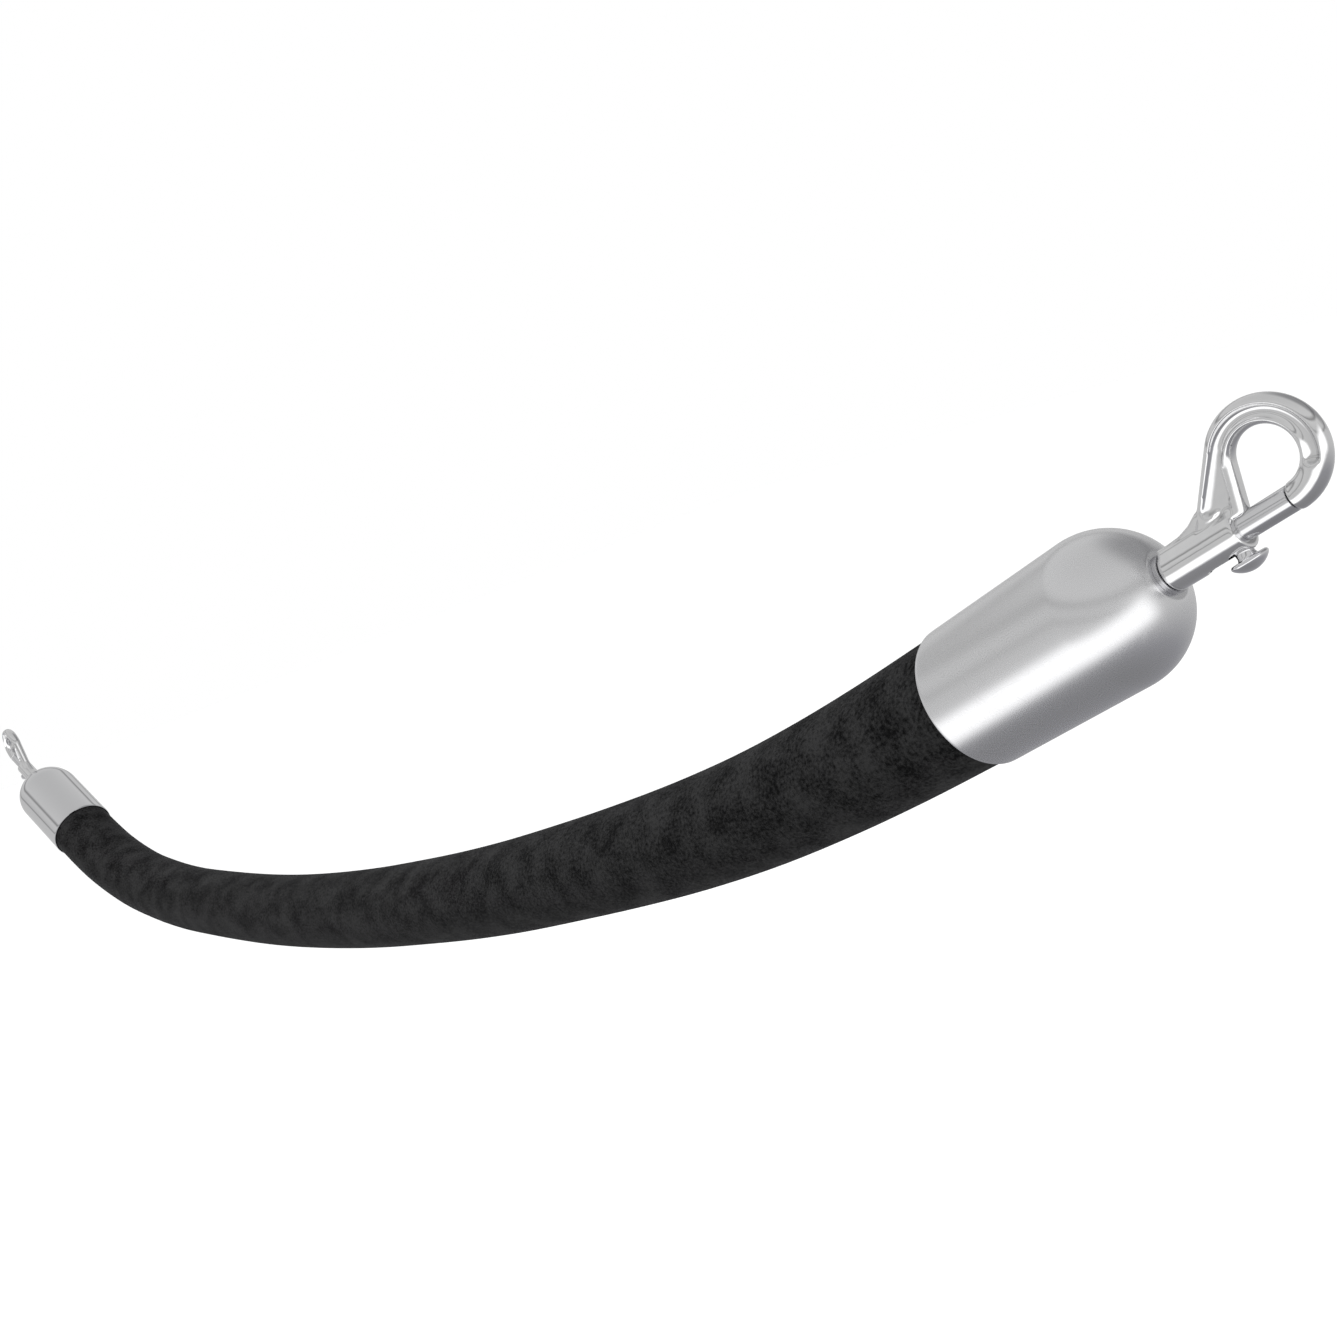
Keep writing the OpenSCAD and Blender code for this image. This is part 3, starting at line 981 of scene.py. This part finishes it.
# Solid parts of the casting, still separate
gusset_outline = [(0.0084, foot + 0.0136), (0.0068, foot + 0.0104), (0.0059, foot + 0.0070),
                  (0.0057, foot + 0.0030), (0.0058, foot + 0.0004), (0.0030, foot + 0.0004),
                  (0.0030, foot + 0.0136)]
web_outline = [arm_top, arm_foot, (0.0020, foot + 0.0110), (0.0020, foot + 0.0200), rim_foot, rim_top]
lumps = [
    plug(barrel_radius, foot, foot + barrel_length),
    plug(loop_bar - 0.0001, nose_at, loop_at + 0.0002),
    bent_bar(-90, 228, loop_radius, loop_bar, loop_flat, 120),
    bent_bar(132, 28, rim_radius, rim_bar, rim_flat, 24),
    round_bar(arm_top, arm_foot, loop_bar, arm_foot_bar, loop_flat),
    round_bar(rim_top, rim_foot, rim_bar, rim_bar, rim_flat),
    knuckle(rim_foot, rim_bar, rim_flat),
    round_bar(rim_foot, rim_root, rim_bar, rim_bar, rim_flat),
    plate(web_outline, -web_half, web_half),
    plate(gusset_outline, -gusset_half, gusset_half),
]

# Joined and melted together as the mould and the buffing wheel leave them
near_hook = joined(lumps, "near_hook_casting")
melt(near_hook, 0.00030)

# The recess on both faces: a round-bottomed channel runs along the arm and round the loop,
# and a flat pocket opens it out over the web
channel_radius = loop_radius - 0.0002
channel_bar = 0.0017
channel_foot = 0.0016
channel_off = 0.0030
pocket_off = 0.00125
channel_start = math.radians(-30)
start_point = (loop_radius + channel_radius * math.sin(channel_start),
               loop_at + channel_radius * math.cos(channel_start))
bend_point = (0.0171, foot + 0.0267)
corner_point = (0.0071, foot + 0.0167)
pocket = [bend_point, corner_point, (0.0060, foot + 0.0160), (0.0060, foot + 0.0208), (0.0068, foot + 0.0226),
          (0.01328, foot + 0.02496), (0.0149, foot + 0.0260), (0.0159, foot + 0.0272)]
for y in (-1, 1):
    tools = [bent_bar(-30, 165, channel_radius, channel_bar, 1.0, 100)]
    tools.append(knuckle(start_point, channel_bar, 1.0))
    tools.append(knuckle(bend_point, channel_bar, 1.0))
    tools.append(round_bar(bend_point, corner_point, channel_bar, channel_foot, 1.0))
    tools.append(knuckle(corner_point, channel_foot, 1.0))
    for tool in tools:
        tool.location = (0, y * channel_off, 0)
        pick(tool)
        bpy.ops.object.transform_apply(location=True)
        cut(near_hook, tool)
    cut(near_hook, plate(pocket, y * pocket_off, y * 0.0050))
melt(near_hook, 0.00024)
buff = near_hook.modifiers.new("buff", "SMOOTH")
buff.factor = 0.5
buff.iterations = 20
bpy.ops.object.modifier_apply(modifier="buff")

# Faces and holes that are machined after casting, so they stay crisp
face_cutter = 0.0042
bore_floor = foot + 0.002
cut(near_hook, plug(face_cutter, nose_at - 0.0012, nose_at))
cut(near_hook, plug(bore_radius, bore_floor, nose_at - 0.0006))
cut(near_hook, plug(stud_hole, foot - 0.001, foot + 0.003, 48))
slot_out, slot_in = -0.0075, -0.0015
for z in (knob_at - bolt_travel, knob_at):
    cut(near_hook, side_drill(slot_radius, slot_out, slot_in, z))
bpy.ops.object.select_all(action="DESELECT")
bpy.ops.mesh.primitive_cube_add(size=1, location=((slot_out + slot_in) / 2, 0, knob_at - bolt_travel / 2))
slot_tool = bpy.context.object
slot_tool.scale = (slot_in - slot_out, 2 * slot_radius, bolt_travel)
bpy.ops.object.transform_apply(location=True, scale=True)
cut(near_hook, slot_tool)
pick(near_hook)
bpy.ops.object.shade_smooth_by_angle(angle=math.radians(34))
far_hook = copied(near_hook, "far_hook_casting")


def bright_chrome(name, tint, roughness, ripple, hollows=0.0):
    """Chrome plate over a buffed piece: almost a mirror, with the soft ripple of the casting under it,
    hairline scratches in the gloss, and painted shade that darkens the plate colour in the hollows."""
    material = bpy.data.materials.new(name)
    material.use_nodes = True
    nodes = material.node_tree.nodes
    links = material.node_tree.links
    nodes.clear()

    output = nodes.new("ShaderNodeOutputMaterial")
    output.label = "Chromed surface"
    output.location = (1000, 0)
    chrome = nodes.new("ShaderNodeBsdfPrincipled")
    chrome.label = "Chrome plate"
    chrome.location = (700, 0)
    place = nodes.new("ShaderNodeTexCoord")
    place.label = "Place on the piece"
    place.location = (-1000, 0)

    wear_frame = nodes.new("NodeFrame")
    wear_frame.label = "Gloss: haze and hairline scratches"
    haze = nodes.new("ShaderNodeTexNoise")
    haze.label = "Haze"
    haze.location = (-700, 100)
    haze.parent = wear_frame
    haze_range = nodes.new("ShaderNodeMapRange")
    haze_range.label = "Clear to hazy"
    haze_range.location = (-450, 100)
    haze_range.parent = wear_frame
    stretch = nodes.new("ShaderNodeMapping")
    stretch.label = "Scratches run one way"
    stretch.location = (-850, -200)
    stretch.parent = wear_frame
    scratch = nodes.new("ShaderNodeTexNoise")
    scratch.label = "Hairlines"
    scratch.location = (-650, -200)
    scratch.parent = wear_frame
    scratch_range = nodes.new("ShaderNodeMapRange")
    scratch_range.label = "Only the finest lines"
    scratch_range.location = (-450, -200)
    scratch_range.parent = wear_frame
    gloss = nodes.new("ShaderNodeMath")
    gloss.label = "Haze and scratches together"
    gloss.location = (-150, 0)
    gloss.parent = wear_frame

    ripple_frame = nodes.new("NodeFrame")
    ripple_frame.label = "Ripple of the casting"
    ripple_noise = nodes.new("ShaderNodeTexNoise")
    ripple_noise.label = "Slow waves"
    ripple_noise.location = (-450, -500)
    ripple_noise.parent = ripple_frame
    ripple_bump = nodes.new("ShaderNodeBump")
    ripple_bump.label = "Relief of the waves"
    ripple_bump.location = (-150, -500)
    ripple_bump.parent = ripple_frame

    colour_frame = nodes.new("NodeFrame")
    colour_frame.label = "Colour of the plate"
    colour = nodes.new("ShaderNodeMix")
    colour.label = "Slightly darker where hazy"
    colour.location = (200, 200)
    colour.parent = colour_frame

    relief = nodes.new("ShaderNodeNewGeometry")
    relief.label = "Hollows and edges"
    relief.location = (-100, 450)
    relief.parent = colour_frame
    hollow = nodes.new("ShaderNodeMapRange")
    hollow.label = "Only the hollows"
    hollow.location = (100, 450)
    hollow.parent = colour_frame
    # Painted shade: where pointiness finds a hollow, the plate colour is mixed towards dark grey, standing in
    # for shade in the creases and recesses
    painted_hollow_shade = nodes.new("ShaderNodeMix")
    painted_hollow_shade.label = "Painted shade in the hollows"
    painted_hollow_shade.location = (420, 300)
    painted_hollow_shade.parent = colour_frame

    haze.inputs["Scale"].default_value = 260.0
    haze.inputs["Detail"].default_value = 5.0
    haze_range.inputs["From Min"].default_value = 0.35
    haze_range.inputs["From Max"].default_value = 0.75
    haze_range.inputs["To Min"].default_value = roughness
    haze_range.inputs["To Max"].default_value = roughness * 1.9
    stretch.inputs["Scale"].default_value = (5200, 5200, 240)
    stretch.inputs["Rotation"].default_value = (0.2, 0.5, 0.1)
    scratch.inputs["Scale"].default_value = 1.0
    scratch.inputs["Detail"].default_value = 2.0
    scratch_range.inputs["From Min"].default_value = 0.68
    scratch_range.inputs["From Max"].default_value = 0.80
    scratch_range.inputs["To Max"].default_value = 0.10
    gloss.operation = "ADD"
    ripple_noise.inputs["Scale"].default_value = 330.0
    ripple_noise.inputs["Detail"].default_value = 1.0
    ripple_bump.inputs["Strength"].default_value = ripple
    ripple_bump.inputs["Distance"].default_value = 0.0001
    colour.data_type = "RGBA"
    colour.inputs[6].default_value = (*tint, 1)
    colour.inputs[7].default_value = (tint[0] * 0.90, tint[1] * 0.90, tint[2] * 0.91, 1)
    # The concave places, below a pointiness of about 0.49, get the painted shade, up to the strength given by
    # hollows
    hollow.inputs["From Min"].default_value = 0.492
    hollow.inputs["From Max"].default_value = 0.44
    hollow.inputs["To Max"].default_value = hollows
    painted_hollow_shade.data_type = "RGBA"
    painted_hollow_shade.inputs[7].default_value = (0.10, 0.10, 0.10, 1)
    chrome.inputs["Metallic"].default_value = 1.0

    links.new(relief.outputs["Pointiness"], hollow.inputs["Value"])
    links.new(hollow.outputs["Result"], painted_hollow_shade.inputs[0])
    links.new(colour.outputs[2], painted_hollow_shade.inputs[6])
    links.new(place.outputs["Object"], haze.inputs["Vector"])
    links.new(place.outputs["Object"], stretch.inputs["Vector"])
    links.new(stretch.outputs["Vector"], scratch.inputs["Vector"])
    links.new(place.outputs["Object"], ripple_noise.inputs["Vector"])
    links.new(haze.outputs["Fac"], haze_range.inputs["Value"])
    links.new(scratch.outputs["Fac"], scratch_range.inputs["Value"])
    links.new(haze_range.outputs["Result"], gloss.inputs[0])
    links.new(scratch_range.outputs["Result"], gloss.inputs[1])
    links.new(gloss.outputs["Value"], chrome.inputs["Roughness"])
    links.new(haze.outputs["Fac"], colour.inputs[0])
    links.new(painted_hollow_shade.outputs[2], chrome.inputs["Base Color"])
    links.new(ripple_noise.outputs["Fac"], ripple_bump.inputs["Height"])
    links.new(ripple_bump.outputs["Normal"], chrome.inputs["Normal"])
    links.new(chrome.outputs["BSDF"], output.inputs["Surface"])
    return material


# hollows=0.8 sets how strongly painted shade darkens the hook's creases and recesses; the bolt, knob and
# spring get none
hook_chrome = bright_chrome("hook_chrome", (0.86, 0.86, 0.86), 0.06, 0.25, hollows=0.8)
for side, hook in (("near", near_hook), ("far", far_hook)):
    hook.data.materials.clear()
    hook.data.materials.append(hook_chrome)
    place_on_end(hook, side)
    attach(hook, side + "_hook")
    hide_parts(side + "_snap_hook")


# ---------------------------------------------------------------------------------------------
# Gate bolts. Each is a round steel plunger, turned and chromed, that closes the loop against the
# nose. Its back end is bored for the spring, and a cross hole takes the knob.
# ---------------------------------------------------------------------------------------------
bolt_radius = 0.0030
bolt_back = foot + 0.0135
bolt_front = foot + 0.0331
spring_bore = 0.0022
knob_hole = 0.00155
bolt_rings = [(bolt_back + 0.0016, spring_bore), (bolt_back + 0.0001, spring_bore)]
bolt_rings += [(bolt_back, spring_bore + 0.0001)]
bolt_rings += [(bolt_back, 0.0028), (bolt_back + 0.0002, bolt_radius)]
bolt_rings += [(bolt_front - 0.00025, bolt_radius), (bolt_front - 0.00007, 0.00293), (bolt_front, 0.00275)]
near_bolt = turned("near_bolt_plunger", bolt_rings, 96, solid=True)
cut(near_bolt, side_drill(slot_radius, -0.006, -0.0022, knob_at))
cut(near_bolt, side_drill(knob_hole, -0.006, 0.001, knob_at))
pick(near_bolt)
bpy.ops.object.shade_smooth_by_angle(angle=math.radians(32))
far_bolt = copied(near_bolt, "far_bolt_plunger")
bolt_chrome = bright_chrome("bolt_chrome", (0.80, 0.80, 0.81), 0.09, 0.08)
for side, bolt in (("near", near_bolt), ("far", far_bolt)):
    bolt.data.materials.clear()
    bolt.data.materials.append(bolt_chrome)
    place_on_end(bolt, side)
    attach(bolt, side + "_bolt")
    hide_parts(side + "_gate_bolt")


# ---------------------------------------------------------------------------------------------
# Thumb knobs. Each is turned in one piece: a spigot pressed into the bolt, a neck that runs in
# the slot, and a domed head with a rounded edge for the thumb. It is chromed like the hook.
# ---------------------------------------------------------------------------------------------
spigot_radius = 0.0015
neck_radius = 0.0021
knob_rings = [(-0.0008, spigot_radius - 0.0001), (-0.0007, spigot_radius), (0.0022, spigot_radius)]
knob_rings += [(0.0022, neck_radius - 0.0001), (0.0023, neck_radius), (0.0053, neck_radius)]
knob_rings += [(0.00575, 0.0023), (0.00595, 0.0027), (0.0060, 0.0032)]
knob_rings += arc(0.0065, 0.0006, -80, 30, 6, centre_r=0.00378)
crown_radius = 0.0056
crown_edge = 0.0041
crown_start = math.degrees(math.acos(crown_edge / crown_radius))
knob_rings += arc(0.0033, crown_radius, crown_start, 86, 12)
near_knob = turned("near_knob_button", knob_rings, 72, solid=True)
near_knob.rotation_euler = (0, -math.pi / 2, 0)
near_knob.location = (0, 0, knob_at)
bpy.ops.object.transform_apply(location=True, rotation=True)
far_knob = copied(near_knob, "far_knob_button")
knob_chrome = bright_chrome("knob_chrome", (0.84, 0.84, 0.85), 0.07, 0.10)
for side, knob in (("near", near_knob), ("far", far_knob)):
    knob.data.materials.clear()
    knob.data.materials.append(knob_chrome)
    place_on_end(knob, side)
    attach(knob, side + "_bolt")
    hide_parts(side + "_thumb_knob")


# ---------------------------------------------------------------------------------------------
# Bolt springs. Each is round spring wire, coiled with a dead coil and a half at each end, that
# pushes the bolt out of the barrel. It closes up towards the stud's head as the knob is drawn back.
# ---------------------------------------------------------------------------------------------
wire_radius = 0.00022
coil_radius = 0.00185
spring_seat = foot + 0.0036
spring_back = spring_seat + wire_radius
spring_front = foot + 0.0149 - wire_radius
dead_turns = 1.5
live_turns = 5
dead_length = dead_turns * 2.1 * wire_radius
live_length = spring_front - spring_back - 2 * dead_length
stages = [(dead_turns, dead_length), (live_turns, live_length), (dead_turns, dead_length)]
coils = []
start_z, start_turn = spring_back, 0.0
for turns, rise in stages:
    bpy.ops.object.select_all(action="DESELECT")
    bpy.ops.mesh.primitive_circle_add(vertices=12, radius=wire_radius, fill_type="NOTHING",
                                      location=(coil_radius, 0, start_z), rotation=(math.pi / 2, 0, 0))
    coil = bpy.context.object
    bpy.ops.object.transform_apply(location=True, rotation=True)
    wind = coil.modifiers.new("wind", "SCREW")
    wind.axis = "Z"
    wind.angle = 2 * math.pi * turns
    wind.screw_offset = rise
    wind.steps = round(36 * turns)
    wind.render_steps = round(36 * turns)
    wind.use_smooth_shade = True
    bpy.ops.object.modifier_apply(modifier="wind")
    coil.rotation_euler = (0, 0, 2 * math.pi * start_turn)
    bpy.ops.object.transform_apply(rotation=True)
    coils.append(coil)
    start_z += rise
    start_turn += turns
near_spring = joined(coils, "near_spring_wire")
bpy.ops.object.mode_set(mode="EDIT")
bpy.ops.mesh.select_all(action="SELECT")
bpy.ops.mesh.remove_doubles(threshold=0.00002)
bpy.ops.mesh.select_all(action="SELECT")
bpy.ops.mesh.fill_holes(sides=0)
bpy.ops.mesh.select_all(action="SELECT")
bpy.ops.mesh.normals_make_consistent(inside=False)
bpy.ops.object.mode_set(mode="OBJECT")
far_spring = copied(near_spring, "far_spring_wire")
spring_wire = bright_chrome("spring_wire", (0.46, 0.46, 0.47), 0.24, 0.05)
for side, spring in (("near", near_spring), ("far", far_spring)):
    spring.data.materials.clear()
    spring.data.materials.append(spring_wire)
    place_on_end(spring, side)
    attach(spring, side + "_hook")
    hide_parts(side + "_bolt_spring")
    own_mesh(spring)


# ---------------------------------------------------------------------------------------------
# Swivel hardware. A headed stud holds each hook to its cap, with a plain washer outside the dome,
# a larger one inside it and a hexagon nut that clamps them. All are plated steel.
# ---------------------------------------------------------------------------------------------
washer_hole = 0.0022
washer_top = cap_top + 0.00115
washer_rings = [(cap_top, washer_hole), (cap_top, 0.0050), (cap_top + 0.0001, 0.0051)]
washer_rings += [(washer_top - 0.0001, 0.0051), (washer_top, 0.0050), (washer_top, washer_hole)]
washer_rings += [(cap_top, washer_hole)]
backing_bottom = inner_top - 0.0010
backing_rings = [(backing_bottom, washer_hole), (backing_bottom, 0.0061), (backing_bottom + 0.0002, 0.0063)]
backing_rings += [(inner_top - 0.0002, 0.0063), (inner_top, 0.0061), (inner_top, washer_hole)]
backing_rings += [(backing_bottom, washer_hole)]
near_washer = turned("near_washer_ring", washer_rings, 96)
near_backing = turned("near_backing_ring", backing_rings, 96)

stud_head = foot + 0.00205
stud_radius = 0.0020
head_radius = 0.00275
stud_rings = [(0.0440, 0.0017), (0.0443, stud_radius), (stud_head, stud_radius), (stud_head, 0.0026)]
stud_rings += [(stud_head + 0.0001, head_radius), (stud_head + 0.0011, head_radius)]
stud_rings += [(stud_head + 0.0014, 0.0023)]
near_stud = turned("near_stud_pin", stud_rings, 64, solid=True)

thread_hole = 0.00205
nut_half = 0.0035
nut_height = 0.0032
nut_bottom = cap_top - 0.0052
nut_top = nut_bottom + nut_height
bpy.ops.object.select_all(action="DESELECT")
bpy.ops.mesh.primitive_cylinder_add(vertices=6, radius=nut_half / math.cos(math.pi / 6), depth=nut_height,
                                    location=(0, 0, (nut_bottom + nut_top) / 2))
near_nut = bpy.context.object
near_nut.name = "near_nut_hexagon"
bpy.ops.object.transform_apply(location=True)
nut_edges = near_nut.modifiers.new("edges", "BEVEL")
nut_edges.width = 0.0002
nut_edges.segments = 2
bpy.ops.object.modifier_apply(modifier="edges")
cut(near_nut, plug(thread_hole, nut_bottom - 0.001, nut_top + 0.001, 64))


def plated_steel(name, tint, roughness):
    """Zinc-plated steel: a fine crystalline bloom over a soft metallic grey."""
    material = bpy.data.materials.new(name)
    material.use_nodes = True
    nodes = material.node_tree.nodes
    links = material.node_tree.links
    nodes.clear()

    output = nodes.new("ShaderNodeOutputMaterial")
    output.label = "Plated surface"
    output.location = (700, 0)
    metal = nodes.new("ShaderNodeBsdfPrincipled")
    metal.label = "Zinc plate"
    metal.location = (400, 0)
    place = nodes.new("ShaderNodeTexCoord")
    place.label = "Place on the piece"
    place.location = (-600, 0)
    bloom_frame = nodes.new("NodeFrame")
    bloom_frame.label = "Bloom of the plate"
    bloom = nodes.new("ShaderNodeTexVoronoi")
    bloom.label = "Crystals"
    bloom.location = (-400, 100)
    bloom.parent = bloom_frame
    colour = nodes.new("ShaderNodeValToRGB")
    colour.label = "Light and dark crystals"
    colour.location = (-100, 200)
    colour.parent = bloom_frame
    gloss = nodes.new("ShaderNodeMapRange")
    gloss.label = "Crystals differ in gloss"
    gloss.location = (-100, -100)
    gloss.parent = bloom_frame

    bloom.inputs["Scale"].default_value = 2200.0
    colour.color_ramp.elements[0].color = (tint[0] * 0.82, tint[1] * 0.82, tint[2] * 0.84, 1)
    colour.color_ramp.elements[1].color = (*tint, 1)
    gloss.inputs["To Min"].default_value = roughness * 0.8
    gloss.inputs["To Max"].default_value = roughness * 1.3
    metal.inputs["Metallic"].default_value = 1.0

    links.new(place.outputs["Object"], bloom.inputs["Vector"])
    links.new(bloom.outputs["Color"], colour.inputs["Fac"])
    links.new(bloom.outputs["Distance"], gloss.inputs["Value"])
    links.new(colour.outputs["Color"], metal.inputs["Base Color"])
    links.new(gloss.outputs["Result"], metal.inputs["Roughness"])
    links.new(metal.outputs["BSDF"], output.inputs["Surface"])
    return material


washer_plate = plated_steel("washer_plate", (0.66, 0.66, 0.67), 0.26)
stud_plate = plated_steel("stud_plate", (0.60, 0.60, 0.61), 0.30)
hardware = [
    (near_washer, "washer_ring", "swivel_washer", washer_plate, "washer_steel"),
    (near_backing, "backing_ring", "backing_washer", washer_plate, "washer_steel"),
    (near_stud, "stud_pin", "swivel_stud", stud_plate, "stud_steel"),
    (near_nut, "nut_hexagon", "lock_nut", stud_plate, "stud_steel"),
]
for near_piece, piece_name, node_name, finish, slot_name in hardware:
    near_piece.data.materials.clear()
    near_piece.data.materials.append(finish)
    far_piece = copied(near_piece, "far_" + piece_name)
    for side, piece in (("near", near_piece), ("far", far_piece)):
        place_on_end(piece, side)
        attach(piece, "rope")
        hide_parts(side + "_" + node_name)


# ---------------------------------------------------------------------------------------------
# Anchor dowels. Each is turned in beech: a plug glued into the core's end and a flange that
# stands behind the rope's end, with a hole for the stud's thread.
# ---------------------------------------------------------------------------------------------
plug_radius = 0.0075
flange_radius = 0.0150
flange_back = 0.0460
flange_front = 0.0560
flange_edge = 0.0005
dowel_rings = [(0.0060, 0.0066), (0.0068, plug_radius - 0.0001), (0.0072, plug_radius)]
dowel_rings += [(flange_back, plug_radius), (flange_back, flange_radius - flange_edge)]
dowel_rings += [(flange_back + flange_edge, flange_radius), (flange_front - flange_edge, flange_radius)]
dowel_rings += [(flange_front, flange_radius - flange_edge)]
near_dowel = turned("near_dowel_plug", dowel_rings, 96, solid=True)
cut(near_dowel, plug(thread_hole, 0.0420, flange_front + 0.0010, 64))
pick(near_dowel)
bpy.ops.object.shade_smooth_by_angle(angle=math.radians(32))
far_dowel = copied(near_dowel, "far_dowel_plug")


def beech(name, side):
    """Turned beech: pale pinkish wood with grain along the plug."""
    material = bpy.data.materials.new(name)
    material.use_nodes = True
    nodes = material.node_tree.nodes
    links = material.node_tree.links
    nodes.clear()

    output = nodes.new("ShaderNodeOutputMaterial")
    output.label = "Wood surface"
    output.location = (900, 0)
    wood = nodes.new("ShaderNodeBsdfPrincipled")
    wood.label = "Beech"
    wood.location = (600, 0)
    place = nodes.new("ShaderNodeTexCoord")
    place.label = "Place on the plug"
    place.location = (-1100, 0)
    axis = nodes.new("ShaderNodeMapping")
    axis.label = "Turned to run along the plug"
    axis.location = (-900, 0)
    grain_frame = nodes.new("NodeFrame")
    grain_frame.label = "Grain"
    stretch = nodes.new("ShaderNodeMapping")
    stretch.label = "Long along the plug"
    stretch.location = (-650, 100)
    stretch.parent = grain_frame
    grain = nodes.new("ShaderNodeTexNoise")
    grain.label = "Growth rings"
    grain.location = (-400, 100)
    grain.parent = grain_frame
    colour = nodes.new("ShaderNodeValToRGB")
    colour.label = "Early and late wood"
    colour.location = (-150, 200)
    colour.parent = grain_frame
    relief = nodes.new("ShaderNodeBump")
    relief.label = "Relief of the grain"
    relief.location = (250, -200)
    relief.parent = grain_frame

    way = cap_ways[side]
    axis.vector_type = "TEXTURE"
    axis.inputs["Location"].default_value = mouths[side]
    axis.inputs["Rotation"].default_value = (0, math.atan2(way.x, way.z), 0)
    stretch.inputs["Scale"].default_value = (700, 700, 45)
    grain.inputs["Scale"].default_value = 1.0
    grain.inputs["Detail"].default_value = 5.0
    colour.color_ramp.elements[0].position = 0.35
    colour.color_ramp.elements[0].color = (0.42, 0.24, 0.12, 1)
    colour.color_ramp.elements[1].position = 0.65
    colour.color_ramp.elements[1].color = (0.62, 0.41, 0.24, 1)
    relief.inputs["Strength"].default_value = 0.3
    relief.inputs["Distance"].default_value = 0.0001
    wood.inputs["Roughness"].default_value = 0.62

    links.new(place.outputs["Object"], axis.inputs["Vector"])
    links.new(axis.outputs["Vector"], stretch.inputs["Vector"])
    links.new(stretch.outputs["Vector"], grain.inputs["Vector"])
    links.new(grain.outputs["Fac"], colour.inputs["Fac"])
    links.new(colour.outputs["Color"], wood.inputs["Base Color"])
    links.new(grain.outputs["Fac"], relief.inputs["Height"])
    links.new(relief.outputs["Normal"], wood.inputs["Normal"])
    links.new(wood.outputs["BSDF"], output.inputs["Surface"])
    return material


for side, dowel in (("near", near_dowel), ("far", far_dowel)):
    dowel.data.materials.clear()
    dowel.data.materials.append(beech(side + "_beech", side))
    place_on_end(dowel, side)
    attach(dowel, "rope")
    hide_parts(side + "_anchor_dowel")


# ---------------------------------------------------------------------------------------------
# Sizes. The bounds of the finished model.
# ---------------------------------------------------------------------------------------------
low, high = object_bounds()
